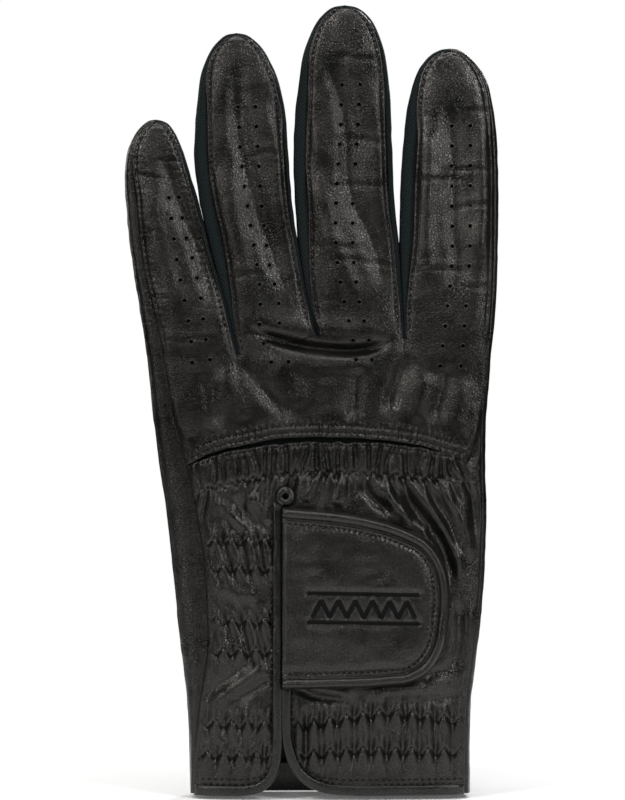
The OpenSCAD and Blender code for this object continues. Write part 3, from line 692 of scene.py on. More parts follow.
def make_finger(f):
    n = 150
    s = np.minimum(finger_rows(n), TIP)
    out = {}
    for face, word in ((-1, "back"), (1, "front")):
        m = int(26 / STEP)
        u = crowd(m)
        S, U = np.meshgrid(s, u, indexing="ij")
        P = finger_surface(f, S, U, face)
        P[..., 1] += face * (finger_relief(f, S, U, face) + stand_out(f, S, U, face))
        whole = f.name == "index" and face < 0
        out[word] = panel(f"{f.name}_{word}_skin", P, (0, -face, 0), flip=face > 0,
            joined=edge_rows(S.shape, "first", *(["right"] if whole else [])))
    for side, word in ((0, "left"), (1, "right")):
        m = int(18 / STEP)
        w = np.linspace(-1, 1, m)
        S, W = np.meshgrid(s, w, indexing="ij")
        mid = (f.l if side == 0 else f.r)(S)
        sb, sf = f.seam(S, -1, side), f.seam(S, 1, side)
        pb = finger_surface(f, S, np.full(S.shape, -1.0 if side == 0 else 1.0), -1)[..., 1]
        pf = finger_surface(f, S, np.full(S.shape, -1.0 if side == 0 else 1.0), 1)[..., 1]
        target = np.where((W < 0)[..., None], sb, sf)
        xz = mix(mid, target, (np.abs(W) ** 2.6)[..., None])
        y = np.where(W < 0, pb, pf) * np.sin(np.abs(W) * math.pi / 2) ** 0.9
        P = pts(xz[..., 0], y, xz[..., 1])
        leather = (f.name == "little" and side == 0) or (f.name == "index" and side == 1)
        bump = 0.18 * fractal(S * 14, W * 1.2, 300 + f.i * 2 + side, 2) * (1 - W**2)
        inner = not leather
        P[..., 0] += (
            (1 if side == 0 else -1)
            * mix(np.abs(bump) + 0.02, -0.22 * (1 - W**2), inner * smooth((0.36 - S) / 0.1))
        )
        out[word] = panel(f"{f.name}_{word}_side", P, (1 if side == 0 else -1, 0, 0), flip=side == 1, lip=0.3,
                          joined=edge_rows(S.shape, "first", *(["left"] if f.name == "index" and side else [])))
    return out


for name in NAMES:
    pieces.update({f"{name}_{k}": v for k, v in make_finger(FINGER[name]).items()})


def finger_root(face, m):
    """[x, z] of the fingers' first rows, joined from left to right."""
    u = crowd(m)
    rows = []
    for name in NAMES:
        f = FINGER[name]
        a, b = f.seam(0.0, face, 0), f.seam(0.0, face, 1)
        rows.append(mix(a, b, ((u + 1) / 2)[:, None]))
    return np.concatenate(rows)


def lay_back(XZ):
    x, z = XZ[..., 0], XZ[..., 1]
    return pts(x, -(hand_height(x, z, -1) + back_relief(x, z)), z)


# knuckle sheet: from the slit's upper lip to the fingers' roots
cols = int(26 / STEP)
root = finger_root(-1, cols)
rows = int(34 / STEP)
share = (root[:, 0] - root[0, 0]) / (root[-1, 0] - root[0, 0])
G = []
for q in np.linspace(0, 1, rows):
    a, b = BACK_SEAM(mix(99.8, LEFT_Z, q)), seam_right(np.array(mix(100.6, RIGHT_Z, q)), -1)
    x = mix(mix(a, b, share), root[:, 0], smooth(q * 1.15 - 0.15))
    G.append(pts(x, mix(slit_top(x), root[:, 1], q)))
G = np.array(G)
P = lay_back(G)
P[..., 1] -= PROUD * smooth((root[None, :, 1] - G[..., 1]) / 6)
gap = slit_gap(G[..., 0])
lift = bell(G[..., 1] - slit_top(G[..., 0]), 1.6) * gap
P[..., 1] -= 0.5 * lift
j = edge_rows(G.shape[:2], "last")
j[0] = G[0, :, 0] > 32
pieces["knuckle"] = panel("knuckle_skin", P, (0, 1, 0), joined=j)

# wrist sheet: from the cuff to the slit's lower lip, split by the vent
VENT_L, VENT_R, VENT_TOP = -15.2, -14.2, 88.0


def cuff_line(x):
    left = np.interp(x, [-45, -24, -20.5, -17.5, -15.6, -14.6], [1.2, 1.4, 2.4, 5.4, 10.5, 15.8])
    right = np.interp(x, [-14.2, -13.4, -12, -9.8, -7.2, -3.5, 0, 6, 50],
        [17.5, 14, 10.2, 6.8, 4.4, 2.4, 1.6, 1.2, 1.4])
    return np.where(x < -14.4, left, right)


nl, nr = int(25 / STEP), int(60 / STEP)
ul, ur = np.linspace(0, 1, nl), np.linspace(0, 1, nr)
r1, r2 = int(86 / STEP), int(16 / STEP)
G = []
for q in np.concatenate([np.linspace(0, 1, r1), 1 + np.linspace(0, 1, r2)[1:]]):
    if q <= 1:
        zl, zr = mix(1.2, VENT_TOP, q), mix(1.4, VENT_TOP, q)
    else:
        zl, zr = mix(VENT_TOP, 98.9, q - 1), mix(VENT_TOP, 100.6, q - 1)
    a, b = BACK_SEAM(np.array(zl)), seam_right(np.array(zr), -1)
    x = np.concatenate([mix(a, VENT_L, ul), mix(VENT_R, b, ur)])
    z = mix(cuff_line(x), VENT_TOP, q) if q <= 1 else mix(VENT_TOP, slit_low(x), q - 1)
    G.append(pts(x, z))
G = np.array(G)
P = lay_back(G)
P[..., 1] -= PROUD
gap = slit_gap(G[..., 0])
P[..., 1] += 0.35 * bell(slit_low(G[..., 0]) - G[..., 1], 1.4) * gap
# the index finger's side lies lower, under the binding and the tab
step_down = smooth((G[..., 0] + 14.6) / 0.6) * smooth((VENT_TOP - G[..., 1]) / 6) * smooth((4 - G[..., 0]) / 12)
P[..., 1] += 0.7 * step_down
mask = np.ones((len(G) - 1, nl + nr - 1), bool)
mask[: r1 - 1, nl - 1] = False
j = np.zeros(G.shape[:2], bool)
j[-1] = G[-1, :, 0] > 32
pieces["wrist"] = panel("wrist_skin", P, (0, 1, 0), mask, joined=j)

# palm sheet
root = finger_root(1, cols)
rows = int(133 / STEP / 1.5)
share = (root[:, 0] - root[0, 0]) / (root[-1, 0] - root[0, 0])
G = []
for q in np.linspace(0, 1, rows):
    zl, zr = mix(0.4, LEFT_Z, q), mix(0.4, RIGHT_Z, q)
    a, b = HAND_LEFT(zl) + mix(5.0, 4.6, min(zl / 130, 1)), HAND_RIGHT(zr) - 4.2
    x = mix(mix(a, b, share), root[:, 0], smooth((q - 0.6) / 0.4))
    z = mix(0.4, root[:, 1], q)
    G.append(pts(x, z))
G = np.array(G)
x, z = G[..., 0], G[..., 1]
d = palm_relief(x, z) * palm_fade(x, z)
P = pts(x, hand_height(x, z, 1) + d, z)
pieces["palm"] = panel("palm_skin", P, (0, -1, 0), flip=True, joined=edge_rows(G.shape[:2], "last"))


def hand_side(side, name):
    """The strip of palm leather round the outer edge of the hand."""
    rows, m = int(134 / STEP / 1.3), int(20 / STEP)
    top = LEFT_Z if side == 0 else RIGHT_Z
    z0 = 1.2
    Z, W = np.meshgrid(np.linspace(z0, top, rows), np.linspace(-1, 1, m), indexing="ij")
    out = HAND_LEFT(Z) if side == 0 else HAND_RIGHT(Z)
    sb = BACK_SEAM(Z) if side == 0 else seam_right(Z, -1)
    sf = seam_left(Z, 1) if side == 0 else seam_right(Z, 1)
    pb, pf = -hand_height(sb, Z, -1), hand_height(sf, Z, 1)
    x = mix(out, np.where(W < 0, sb, sf), np.abs(W) ** 2.6)
    y = np.where(W < 0, pb, pf) * np.sin(np.abs(W) * math.pi / 2) ** 0.9
    bump = 0.28 * fractal(Z / 12, W * 1.5, 400 + side, 3) * (1 - W**2)
    x = x + (1 if side == 0 else -1) * (np.abs(bump) + 0.02)
    return panel(name, pts(x, y, Z), (1 if side == 0 else -1, 0, 0), flip=side == 1,
        joined=edge_rows(Z.shape, "last"))


pieces["side_little"] = hand_side(0, "hand_side_little")
pieces["side_index"] = hand_side(1, "hand_side_index")


# ------------------------------------------------------------------ materials
def nodes_of(name):
    m = bpy.data.materials.new(name)
    m.use_nodes = True
    t = m.node_tree
    return m, t, t.nodes["Principled BSDF"]


def feed(t, node, *inputs, **values):
    """Sets a node's inputs, by place or by name, to a number or to the socket that drives them, and its options."""
    for k, v in [*values.items(), *enumerate(inputs)]:
        socket = k.replace("_", " ") if isinstance(k, str) else k
        if isinstance(k, str) and socket not in node.inputs:
            setattr(node, k, v)
        elif isinstance(v, bpy.types.NodeSocket):
            t.links.new(v, node.inputs[socket])
        else:
            node.inputs[socket].default_value = v
    return node


def add(t, kind, *inputs, **values):
    return feed(t, t.nodes.new("ShaderNode" + kind), *inputs, **values)


def spot_of(t):
    """The place on the object, which every texture is laid out by."""
    return add(t, "TexCoord").outputs["Object"]


def ramp(t, fac, stops):
    n = add(t, "ValToRGB", Fac=fac)
    while len(n.color_ramp.elements) > 1:
        n.color_ramp.elements.remove(n.color_ramp.elements[-1])
    n.color_ramp.elements[0].position, n.color_ramp.elements[0].color = stops[0][0], (*stops[0][1], 1)
    for at, colour in stops[1:]:
        n.color_ramp.elements.new(at).color = (*colour, 1)
    return n.outputs["Color"]


def by_place(t, value, a, b, low=0.0, high=1.0):
    """A soft change from low to high as a coordinate in metres goes from a to b."""
    return add(t, "MapRange", interpolation_type="SMOOTHSTEP", Value=value,
               From_Min=a, From_Max=b, To_Min=low, To_Max=high).outputs[0]


def leather(name, dark=(0.0028, 0.0028, 0.0027), pale=(0.0075, 0.0072, 0.0066), rough=(0.25, 0.37), grain=0.55):
    m, t, b = nodes_of(name)
    spot = spot_of(t)
    warp = add(t, "TexNoise", Vector=spot, Scale=900.0, Detail=2.0).outputs["Color"]
    shift = add(t, "VectorMath", warp, (0.0006,) * 3, spot, operation="MULTIPLY_ADD").outputs[0]
    cells = add(t, "TexVoronoi", feature="DISTANCE_TO_EDGE", Vector=shift, Scale=1150.0).outputs["Distance"]
    lumps = add(t, "TexVoronoi", feature="SMOOTH_F1", Vector=shift, Scale=620.0).outputs["Distance"]
    wide = add(t, "TexNoise", Vector=spot, Scale=120.0, Detail=5.0).outputs["Fac"]
    edge = add(t, "MapRange", Value=cells, From_Max=0.25).outputs[0]
    below = {}
    for height, deep in ((wide, 0.0002), (lumps, 0.00006), (edge, 0.00007)):
        bump = add(t, "Bump", Strength=1.0, Distance=grain * deep, Height=height, **below)
        below = {"Normal": bump.outputs[0]}
    roughness = add(t, "MapRange", Value=wide, From_Min=0.3, From_Max=0.7, To_Min=rough[0], To_Max=rough[1])
    shine = add(t, "MapRange", Value=edge, To_Min=0.34, To_Max=0.6).outputs[0]
    # painted sheen: the specular level is set by place, with less shine over the knuckles than below the slit or on
    # the fingers, and the most on the index finger, standing in for brighter and dimmer light there; every leather
    # made here carries it
    place = add(t, "SeparateXYZ", spot)
    high = by_place(t, place.outputs["Z"], 0.122, 0.15)
    low = by_place(t, place.outputs["Z"], 0.104, 0.096)
    index = by_place(t, place.outputs["X"], 0.016, 0.026, 0.3, 0.6)
    fingers = add(t, "Math", high, index, 0.7, operation="MULTIPLY_ADD").outputs[0]
    whole = add(t, "Math", low, 0.3, fingers, operation="MULTIPLY_ADD").outputs[0]
    level = add(t, "Math", shine, whole, operation="MULTIPLY").outputs[0]
    feed(t, b, Base_Color=ramp(t, wide, [(0.3, dark), (0.7, pale)]), Roughness=roughness.outputs[0],
         Specular_IOR_Level=level, Specular_Tint=(1.0, 0.97, 0.93, 1), **below)
    return m


def knit(name, colour=(0.005, 0.0105, 0.0115), scale=2300.0):
    m, t, b = nodes_of(name)
    spot = spot_of(t)
    waves = []
    for turn in (0.78, -0.78):
        turned = add(t, "Mapping", Vector=spot, Rotation=(0, turn, 0)).outputs[0]
        waves.append(add(t, "TexWave", Vector=turned, Scale=scale / 6.0, Distortion=1.0).outputs["Fac"])
    weave = add(t, "Math", *waves, operation="MULTIPLY").outputs[0]
    bump = add(t, "Bump", Strength=1.0, Distance=0.00012, Height=weave)
    c = ramp(t, weave, [(0.0, tuple(0.5 * v for v in colour)), (0.8, tuple(1.7 * v for v in colour))])
    feed(t, b, Normal=bump.outputs[0], Base_Color=c, Roughness=0.9, Specular_IOR_Level=0.25)
    return m


def fleece(name, dark, pale, scale, deep):
    m, t, b = nodes_of(name)
    v = add(t, "TexVoronoi", Vector=spot_of(t), Scale=scale).outputs["Distance"]
    bump = add(t, "Bump", Strength=1.0, Distance=deep, Height=v)
    feed(t, b, Normal=bump.outputs[0], Base_Color=ramp(t, v, [(0.1, pale), (0.7, dark)]),
         Roughness=0.9, Specular_IOR_Level=0.2)
    return m


def speckled(name, scale, stops, rough, level, placed=True):
    m, t, b = nodes_of(name)
    spots = add(t, "TexNoise", Scale=scale, Detail=2.0, **({"Vector": spot_of(t)} if placed else {}))
    feed(t, b, Base_Color=ramp(t, spots.outputs["Fac"], stops), Roughness=rough, Specular_IOR_Level=level)
    return m


LEATHER = leather("black_leather")
KNIT = knit("stretch_knit")
# painted shade: the same stretch knit made darker for the cloth in the knuckle slit, as it lies in the slit's shade
SHADED_KNIT = knit("slit_knit", (0.002, 0.0035, 0.0038))


def paint(o, m):
    o.data.materials.clear()
    o.data.materials.append(m)


def blend_finger(o):
    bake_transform(o)


for key, o in pieces.items():
    soft = key.endswith(("_left", "_right")) and key not in ("little_left", "index_right")
    paint(o, KNIT if soft else LEATHER)

for name in NAMES:
    for word in ("back", "front", "left", "right"):
        blend_finger(pieces[f"{name}_{word}"])
for key in ("knuckle", "wrist", "palm", "side_little", "side_index"):
    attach(pieces[key], "hand")


# ------------------------------------------------------------------ thread, holes, bindings
def tubes(name, paths, radius, sides=6, ends=0.5):
    """Short round threads: paths is (count, points, 3), radius one number or one for each path."""
    P = np.asarray(paths, float)
    n, k, _ = P.shape
    T = np.gradient(P, axis=1)
    T /= np.maximum(np.linalg.norm(T, axis=2, keepdims=True), 1e-9)
    ref = np.zeros_like(T)
    ref[..., 1] = 1
    B = np.cross(T, ref)
    small = np.linalg.norm(B, axis=2, keepdims=True) < 0.2
    B = np.where(small, np.cross(T, [1.0, 0, 0]), B)
    B /= np.linalg.norm(B, axis=2, keepdims=True)
    N = np.cross(B, T)
    r = np.broadcast_to(np.asarray(radius, float).reshape(-1, 1), (n, k)).copy()
    r[:, 0] *= ends
    r[:, -1] *= ends
    a = np.arange(sides) * 2 * math.pi / sides
    ring = (
        P[:, :, None] + r[..., None, None]
        * (np.cos(a)[:, None] * B[:, :, None] + np.sin(a)[:, None] * N[:, :, None])
    )
    base = (np.arange(n) * k * sides)[:, None, None]
    i, j = np.meshgrid(np.arange(k - 1), np.arange(sides), indexing="ij")
    q = pts(i * sides + j, i * sides + (j + 1) % sides, (i + 1) * sides + (j + 1) % sides, (i + 1) * sides + j)
    faces = (base[..., None] + q[None]).reshape(-1, 4)
    return link(name, ring.reshape(-1, 3), faces)


def row_of_stitches(P, N, pitch, length, rise=0.1, sink=0.16, points=5):
    """Stitch centre lines along a dense line P of surface points with outward normals N."""
    d = run_of(P)
    count = max(1, int(d[-1] / pitch))
    step = d[-1] / count
    starts = (np.arange(count) + 0.5) * step - length / 2
    f = np.linspace(0, 1, points)
    at = starts[:, None] + f[None] * length
    up = mix(-sink, rise, np.sin(f * math.pi) ** 0.6)
    out = pts(*(np.interp(at, d, P[:, k]) for k in range(3)))
    nor = pts(*(np.interp(at, d, N[:, k]) for k in range(3)))
    nor /= np.linalg.norm(nor, axis=2, keepdims=True)
    return out + nor * up[None, :, None]


def normals_of(fun, a, b, e=0.15):
    """Outward normals of a surface fun(a, b) by small steps."""
    du = fun(a + e, b) - fun(a - e, b)
    dv = fun(a, b + e) - fun(a, b - e)
    n = np.cross(du, dv)
    return n / np.maximum(np.linalg.norm(n, axis=-1, keepdims=True), 1e-9)


def hand_point(x, z, face=-1):
    x, z = np.asarray(x, float), np.asarray(z, float)
    rel = back_relief(x, z) + PROUD if face < 0 else palm_relief(x, z) * palm_fade(x, z)
    return pts(x, face * (hand_height(x, z, face) + rel), z)


def hand_normal(x, z, face=-1):
    x, z = np.asarray(x, float), np.asarray(z, float)
    n = normals_of(lambda a, b: hand_point(a, b, face), x, z, 0.4)
    return n * np.where(n[..., 1] * face < 0, -1, 1)[..., None]


def finger_point(f, s, u, face=-1):
    s, u = np.asarray(s, float), np.asarray(u, float)
    P = finger_surface(f, s, u, face)
    P[..., 1] += face * (finger_relief(f, s, u, face) + stand_out(f, s, u, face))
    return P


def finger_normal(f, s, u, face=-1):
    n = normals_of(lambda a, b: finger_point(f, np.clip(a, 0, 0.998), np.clip(b, -1, 1), face), s, u, 0.006)
    return n * np.where(n[..., 1] * face < 0, -1, 1)[..., None]


def find_on_finger(f, x, z, face=-1):
    """The s and u of the finger's surface at x, z."""
    lo, hi = 0.0, 0.995
    for _ in range(40):
        s = (lo + hi) / 2
        a, b = f.seam(np.array(s), face, 0), f.seam(np.array(s), face, 1)
        k = (x - a[0]) / (b[0] - a[0])
        if mix(a[1], b[1], k) < z:
            lo = s
        else:
            hi = s
    return s, float(np.clip(2 * k - 1, -1, 1))


THREAD_M = speckled("thread", 2500.0, [(0.3, (0.0008, 0.0008, 0.0009)), (0.7, (0.004, 0.004, 0.004))], 0.55, 0.2)
SATIN_M = speckled("satin_thread", 1500.0, [(0.3, (0.0007, 0.0007, 0.0008)), (0.7, (0.002, 0.002, 0.0022))], 0.5,
    0.15)
# painted shade: a matte near-black for the discs in the holes, the inner leather's dark and the shade inside the
# glove together
HOLE_SHADE_M = speckled("hole", 3000.0, [(0.2, (0.0006, 0.0006, 0.0006)), (0.8, (0.0015, 0.0014, 0.0014))], 1.0, 0.0, False)
BINDING = leather("binding_leather", (0.005, 0.0055, 0.0058), (0.010, 0.0108, 0.011), (0.25, 0.33), 0.35)
TAB_LEATHER = leather("tab_leather", (0.006, 0.006, 0.0056), (0.0115, 0.011, 0.0104), (0.25, 0.36), 0.4)


def finish_piece(o, material, body=None, finger=None):
    paint(o, material)
    if finger:
        blend_finger(o)
    else:
        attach(o, body)
    pieces[o.name] = o


# stitches beside the seams of the fingers
for name in NAMES:
    f = FINGER[name]
    for face in (-1, 1):
        lines = []
        for side in (0, 1):
            if name == "little" and side == 0 or name == "index" and side == 1:
                continue
            s = np.linspace(0.012, 0.985, 700)
            wide = np.linalg.norm(f.seam(s, face, 1) - f.seam(s, face, 0), axis=-1)
            e = np.minimum(1.15, 0.3 * wide)
            u = (1 - 2 * e / wide) * (1 if side else -1)
            P, N = finger_point(f, s, u, face), finger_normal(f, s, u, face)
            lines.append(row_of_stitches(P, N, STITCH, THREAD, 0.02, 0.2))
        finish_piece(tubes(f"{name}_{'back' if face < 0 else 'front'}_stitching", np.concatenate(lines), 0.24),
            THREAD_M, finger=name)

# stitched rows of the hand
rows = []
x = np.linspace(-41.5, 38, 500)
for up in (1.5, 3.6):
    rows.append(pts(x, slit_top(x) + up))
turn = np.linspace(0, 1, 60)
rows.append(curve([(38, 107.0), (41.0, 105.6), (42.3, 103.2), (41.4, 100.8), (36.6, 99.4)])(turn))
rows.append(curve([(36.5, 105.0), (38.6, 103.8), (39.2, 102.4), (38.3, 100.9), (35.0, 101.3)])(turn))
x = np.linspace(-40.5, 37, 500)
rows.append(pts(x, slit_low(x) - 0.8))
rows.append(pts(x, slit_low(x) - 2.6))
x = np.linspace(-37, 33.5, 460)
rows.append(pts(x, shirr(x) + shirr_wave(x)))
stitch = []
for r in rows:
    stitch.append(row_of_stitches(hand_point(r[:, 0], r[:, 1]), hand_normal(r[:, 0], r[:, 1]), STITCH, THREAD))


def zigzag_row(a, b, level):
    n = int((b - a) / 0.12)
    x = np.linspace(a, b, n)
    z = zigzag_z(x, 0) + level(x)
    P, N = hand_point(x, z), hand_normal(x, z)
    return row_of_stitches(P, N, 1.45, 1.2)


for k, z0 in enumerate(ZIG_ROWS_LITTLE):
    stitch.append(zigzag_row(float(BACK_SEAM(np.array(z0))) + 0.8, -18.2, lambda x, z0=z0,
        k=k: zigzag_z(x, z0, k) - zigzag_z(x, 0)))
for k, z0 in enumerate(ZIG_CUFF_LEFT):
    stitch.append(zigzag_row(float(BACK_SEAM(np.array(z0))) + 0.8, -18.5 - 0.5 * k, lambda x, z0=z0,
        k=k: zigzag_z(x, z0, k + 4) - zigzag_z(x, 0)))
for k in range(2):
    stitch.append(zigzag_row(-11.0 + 4 * k, 39.6, lambda x, k=k: zig_cuff_right(x, k)))
for a, b, count in ((-39, -20, 200), (-9, 40, 400)):
    x = np.linspace(a, b, count)
    z = cuff_line(x) + 4.4
    stitch.append(row_of_stitches(hand_point(x, z), hand_normal(x, z), STITCH, THREAD))
finish_piece(tubes("hand_stitching", np.concatenate(stitch), 0.23), THREAD_M, "hand")

# punched holes, two columns on each finger, running on over the knuckles
HOLES = {
    "little": [([(-48.4, 179.8), (-45.9, 161), (-43.5, 148.6), (-41.7, 136.8), (-41.3, 130.3)], 9),
               ([(-45.4, 180.0), (-43.2, 168), (-41.4, 161.8), (-38.8, 149.6), (-37.2, 137.2), (-36.0, 131.1)], 9)],
    "ring": [([(-27.6, 207), (-26.4, 188.7), (-23.7, 171), (-21.7, 158.5), (-21.0, 152.7), (-20.9, 146.8),
        (-21.1, 140.8), (-17.6, 130.4)], 14),
             ([(-22.4, 207), (-21.3, 188.7), (-19.8, 171), (-18, 159), (-16.5, 153.1), (-15.2, 147), (-15.1, 141.3),
             (-12.4, 130.5)], 14)],
    "middle": [([(3.6, 213.6), (3.0, 196.5), (1.8, 178.2), (2.2, 160), (4.4, 148), (6.9, 136.8), (7.8, 131.1)], 15),
               ([(9.0, 213.6), (8.1, 196.5), (6.9, 178.2), (7.2, 160), (8.8, 148), (11.7, 136.8), (12.6, 131.1)],
               15)],
    "index": [([(36.6, 201.3), (36.6, 181), (36.6, 160.5), (35.0, 145), (33, 129.3)], 13),
              ([(42, 201.3), (42, 181), (41.8, 160.5), (40.6, 145), (39.3, 129.3)], 13)],
}


def ring_mesh(name, centres, normals, major, minor, body=None, finger=None):
    """A small raised rim round each hole, and in it a flat dark disc without shine: the inner leather's dark with
    painted shade, standing in for the glove's shaded inside seen through the hole.
    """
    C, N = np.array(centres), np.array(normals)
    X = np.cross(N, [0, 0, 1.0])
    X /= np.linalg.norm(X, axis=1, keepdims=True)
    Z = np.cross(X, N)
    a = np.arange(14) * 2 * math.pi / 14
    prof = [(major + 2.2 * minor, -0.12), (major + 1.3 * minor, 0.07), (major, 0.11), (major - 0.9 * minor, 0.04),
        (major - 1.2 * minor, -0.2)]
    V, F = [], []
    for c, n, xx, zz in zip(C, N, X, Z):
        b = len(V)
        for r, h in prof:
            for t in a:
                V.append(c + n * h + r * (math.cos(t) * xx + math.sin(t) * zz))
        for k in range(len(prof) - 1):
            for j in range(14):
                F.append([b + k * 14 + j, b + k * 14 + (j + 1) % 14, b + (k + 1) * 14 + (j + 1) % 14,
                    b + (k + 1) * 14 + j])
    rim = link(f"{name}_rims", V, F)
    finish_piece(rim, LEATHER, body, finger)
    # the dark disc in each hole, with the shade inside the glove painted into it
    V, F = [], []
    for c, n, xx, zz in zip(C, N, X, Z):
        b = len(V)
        V.append(c + n * 0.05)
        V += [c + n * 0.05 + (major - 0.6 * minor) * (math.cos(t) * xx + math.sin(t) * zz) for t in a]
        F += [[b, b + 1 + j, b + 1 + (j + 1) % 14] for j in range(14)]
    disc = link(f"{name}_holes", V, F, False)
    finish_piece(disc, HOLE_SHADE_M, body, finger)


hand_c, hand_n = [], []
for name in NAMES:
    f = FINGER[name]
    cs, ns = [], []
    for path, count in HOLES[name]:
        for q in curve(path)(np.linspace(0, 1, count)):
            xx, zz = float(q[0]), float(q[1])
            if zz > float(top_line(xx)) + 0.3:
                s_, u_ = find_on_finger(f, xx, zz)
                cs.append(finger_point(f, np.array(s_), np.array(u_)))
                ns.append(finger_normal(f, np.array(s_), np.array(u_)))
            else:
                hand_c.append(hand_point(xx, zz))
                hand_n.append(hand_normal(xx, zz))
    ring_mesh(f"{name}_perforation", cs, ns, 0.68, 0.15, finger=name)
ring_mesh("knuckle_perforation", hand_c, hand_n, 0.68, 0.15, body="hand")

# stretch cloth that shows in the knuckle slit, in the darker knit with painted shade
X, V = np.meshgrid(np.linspace(-42, 42, 120), np.linspace(-1, 1, 14), indexing="ij")
Zs = mix(slit_low(X) - 4, slit_top(X) + 4, (V + 1) / 2)
P = pts(X, -(hand_height(X, Zs, -1) - 1.25), Zs)
finish_piece(panel("slit_insert_cloth", P, (0, 1, 0), flip=True, lip=0.4), SHADED_KNIT, "hand")


def band(name, path, width, thick, y_of, samples):
    """A flat folded binding laid along a path of [x, z] points."""
    q = curve(path)(np.linspace(0, 1, samples))
    v = np.linspace(-1, 1, 13)
    XZ = q[:, None] + beside(q)[:, None] * (v[None, :, None] * width / 2)
    top = thick * (1 - np.abs(v) ** 4) ** 0.5
    ends = np.sqrt(np.clip(1 - (np.abs(np.linspace(-1, 1, samples)) ** 40), 0, 1))
    y = y_of(XZ[..., 0], XZ[..., 1]) - top[None] * ends[:, None]
    P = pts(XZ[..., 0], y, XZ[..., 1])
    finish_piece(panel(name, P, (0, 1, 0), lip=0.6), BINDING, "hand")


def on_back(x, z, lift=0.25):
    return -(hand_height(x, z, -1) + 0.35 * back_relief(x, z) + lift)


EDGE_LEFT = [(-40.6, 2.4), (-32, 2.3), (-25, 2.5), (-21, 3.5), (-18.3, 5.8), (-16.6, 9.6), (-15.9, 14.5), (-15.8, 24),
    (-15.7, 50), (-15.7, 70), (-15.6, 88.6)]
EDGE_RIGHT = [(-13.0, 34), (-13.2, 24), (-12.6, 16), (-10.6, 10), (-6.9, 5.7), (-1.5, 3.3), (6, 2.6), (20, 2.5),
    (40.2, 2.6)]
band("edge_binding_left", EDGE_LEFT, 3.2, 1.15, on_back, samples=260)
band("edge_binding_right", EDGE_RIGHT, 3.2, 1.1, lambda x, z: on_back(x, z, 0.05), samples=220)
lines = []
for path, across, lift in ((EDGE_LEFT, 1.9, 0.12), (EDGE_RIGHT, 1.9, -0.12)):
    q = curve(path)(np.linspace(0.02, 0.98, 900))
    q = q + beside(q) * across
    P = pts(q[:, 0], on_back(q[:, 0], q[:, 1]) - lift, q[:, 1])
    lines.append(row_of_stitches(P, np.tile([0, -1.0, 0], (len(P), 1)), 1.9, 1.25, 0.1, 0.15))
finish_piece(tubes("edge_stitching", np.concatenate(lines), 0.23), THREAD_M, "hand")

# the binding's end, curled round at the top of the vent
a = np.linspace(-0.55, 1.5, 70) * math.pi
path = pts(-13.35 - 1.8 * np.cos(a), np.zeros(70), 90.3 + 1.8 * np.sin(a))
path[:, 1] = on_back(path[:, 0], path[:, 2]) - 0.75
finish_piece(tubes("vent_curl", path[None], 1.2, 14, 0.8), BINDING, "hand")


# ------------------------------------------------------------------ closure tab
TAB = [(-14.3, 87.2), (8.4, 84.7), (21.9, 81.0), (29.7, 76.8), (34.1, 70.6), (35.9, 60.9), (35.3, 52.2), (33.5, 43.8),
    (29.1, 37.5), (24.3, 34.8), (15.6, 33.6), (0.3, 33), (-14.3, 32.7)]
tab_outline = curve(TAB)


MOTIF = [([(-6.5, 61.6), (10, 61.3), (26.5, 61.0)], 1.1), ([(-6.5, 53.0), (10, 52.7), (26.5, 52.4)], 1.1)]
ZIG = [(-5.2 + k * 2.55, 57.0 - 0.018 * (k * 2.55) + (2.5 if k % 2 else -2.5)) for k in range(13)]
MOTIF += [([a, b], 0.9) for a, b in zip(ZIG[:-1], ZIG[1:])]


def tab_layer_y(x, z):
    return -(hand_height(x, z, -1) + 0.9)


def tab_height(x, z):
    """The tab's outer face above the hand's leather, from its distance to the outline."""
    d, t = near(x, z, TAB, 160)
    edge = 2.5 * (1 - np.clip(1 - d / 1.5, 0, 1) ** 2.4) ** 0.5
    roll = 1.35 * np.clip(1 - ((d - 1.65) / 1.7) ** 2, 0, 1) ** 0.6
    groove = -0.5 * bell(d - 4.7, 0.55) - 0.55 * bell(d - 3.4, 0.35)
    puff = 0.30 * smooth((d - 4.9) / 3) + 0.35 * smooth((d - 4) / 16)
    ripple = 0.36 * fractal(x / 9, z / 7, 71, 2) + 0.02 * fractal(x / 2.2, z / 2.2, 72, 2)
    for part, wide in MOTIF:
        ripple = ripple - 0.4 * bell(near(x, z, part, 40)[0], wide)
    ripple = ripple - 0.5 * bell(x - 10, 19, 8) * bell(z - 57.0 + 0.02 * x, 6.3, 4)
    pucker = 0.1 * np.cos(2 * math.pi * t * 152 / STITCH) * bell(d - 4.9, 1.2)
    root = smooth((x + 14.4) / 1.5)
    return edge * mix(0.75, 1, root) + roll + groove + puff + ripple + pucker


m_u, m_v = int(52 / STEP), int(56 / STEP)
uu = np.concatenate([np.linspace(0, 0.8, int(m_u * 0.75)),
    0.8 + 0.2 * np.sin(np.linspace(0, 1, int(m_u * 0.35))[1:] * math.pi / 2)])
edge_t = np.linspace(0, 1, 2000)
oq = tab_outline(edge_t)
peak = int(np.argmax(oq[:, 0]))
xa = mix(-14.3, oq[peak, 0] - 0.02, uu)
hi = np.interp(xa, oq[: peak + 1, 0], oq[: peak + 1, 1])
lo = np.interp(xa, oq[peak:, 0][::-1], oq[peak:, 1][::-1])
vv = crowd(m_v, 0.9)
XX = np.repeat(xa[None], m_v, 0)
ZZ = mix(lo[None], hi[None], (vv[:, None] + 1) / 2)
P = pts(XX, tab_layer_y(XX, ZZ) - tab_height(XX, ZZ), ZZ)
finish_piece(panel("tab_leather_skin", P, (0, 1, 0), lip=0.5), TAB_LEATHER, "closure_tab")
P2 = pts(XX * 0.985 + 0.1, tab_layer_y(XX, ZZ) - 0.25, mix(ZZ, 59.7, 0.02))
finish_piece(panel("tab_lining", P2, (0, -1, 0), flip=True, lip=0.3), LEATHER, "closure_tab")


def tab_point(x, z):
    return pts(x, tab_layer_y(x, z) - tab_height(x, z), z)


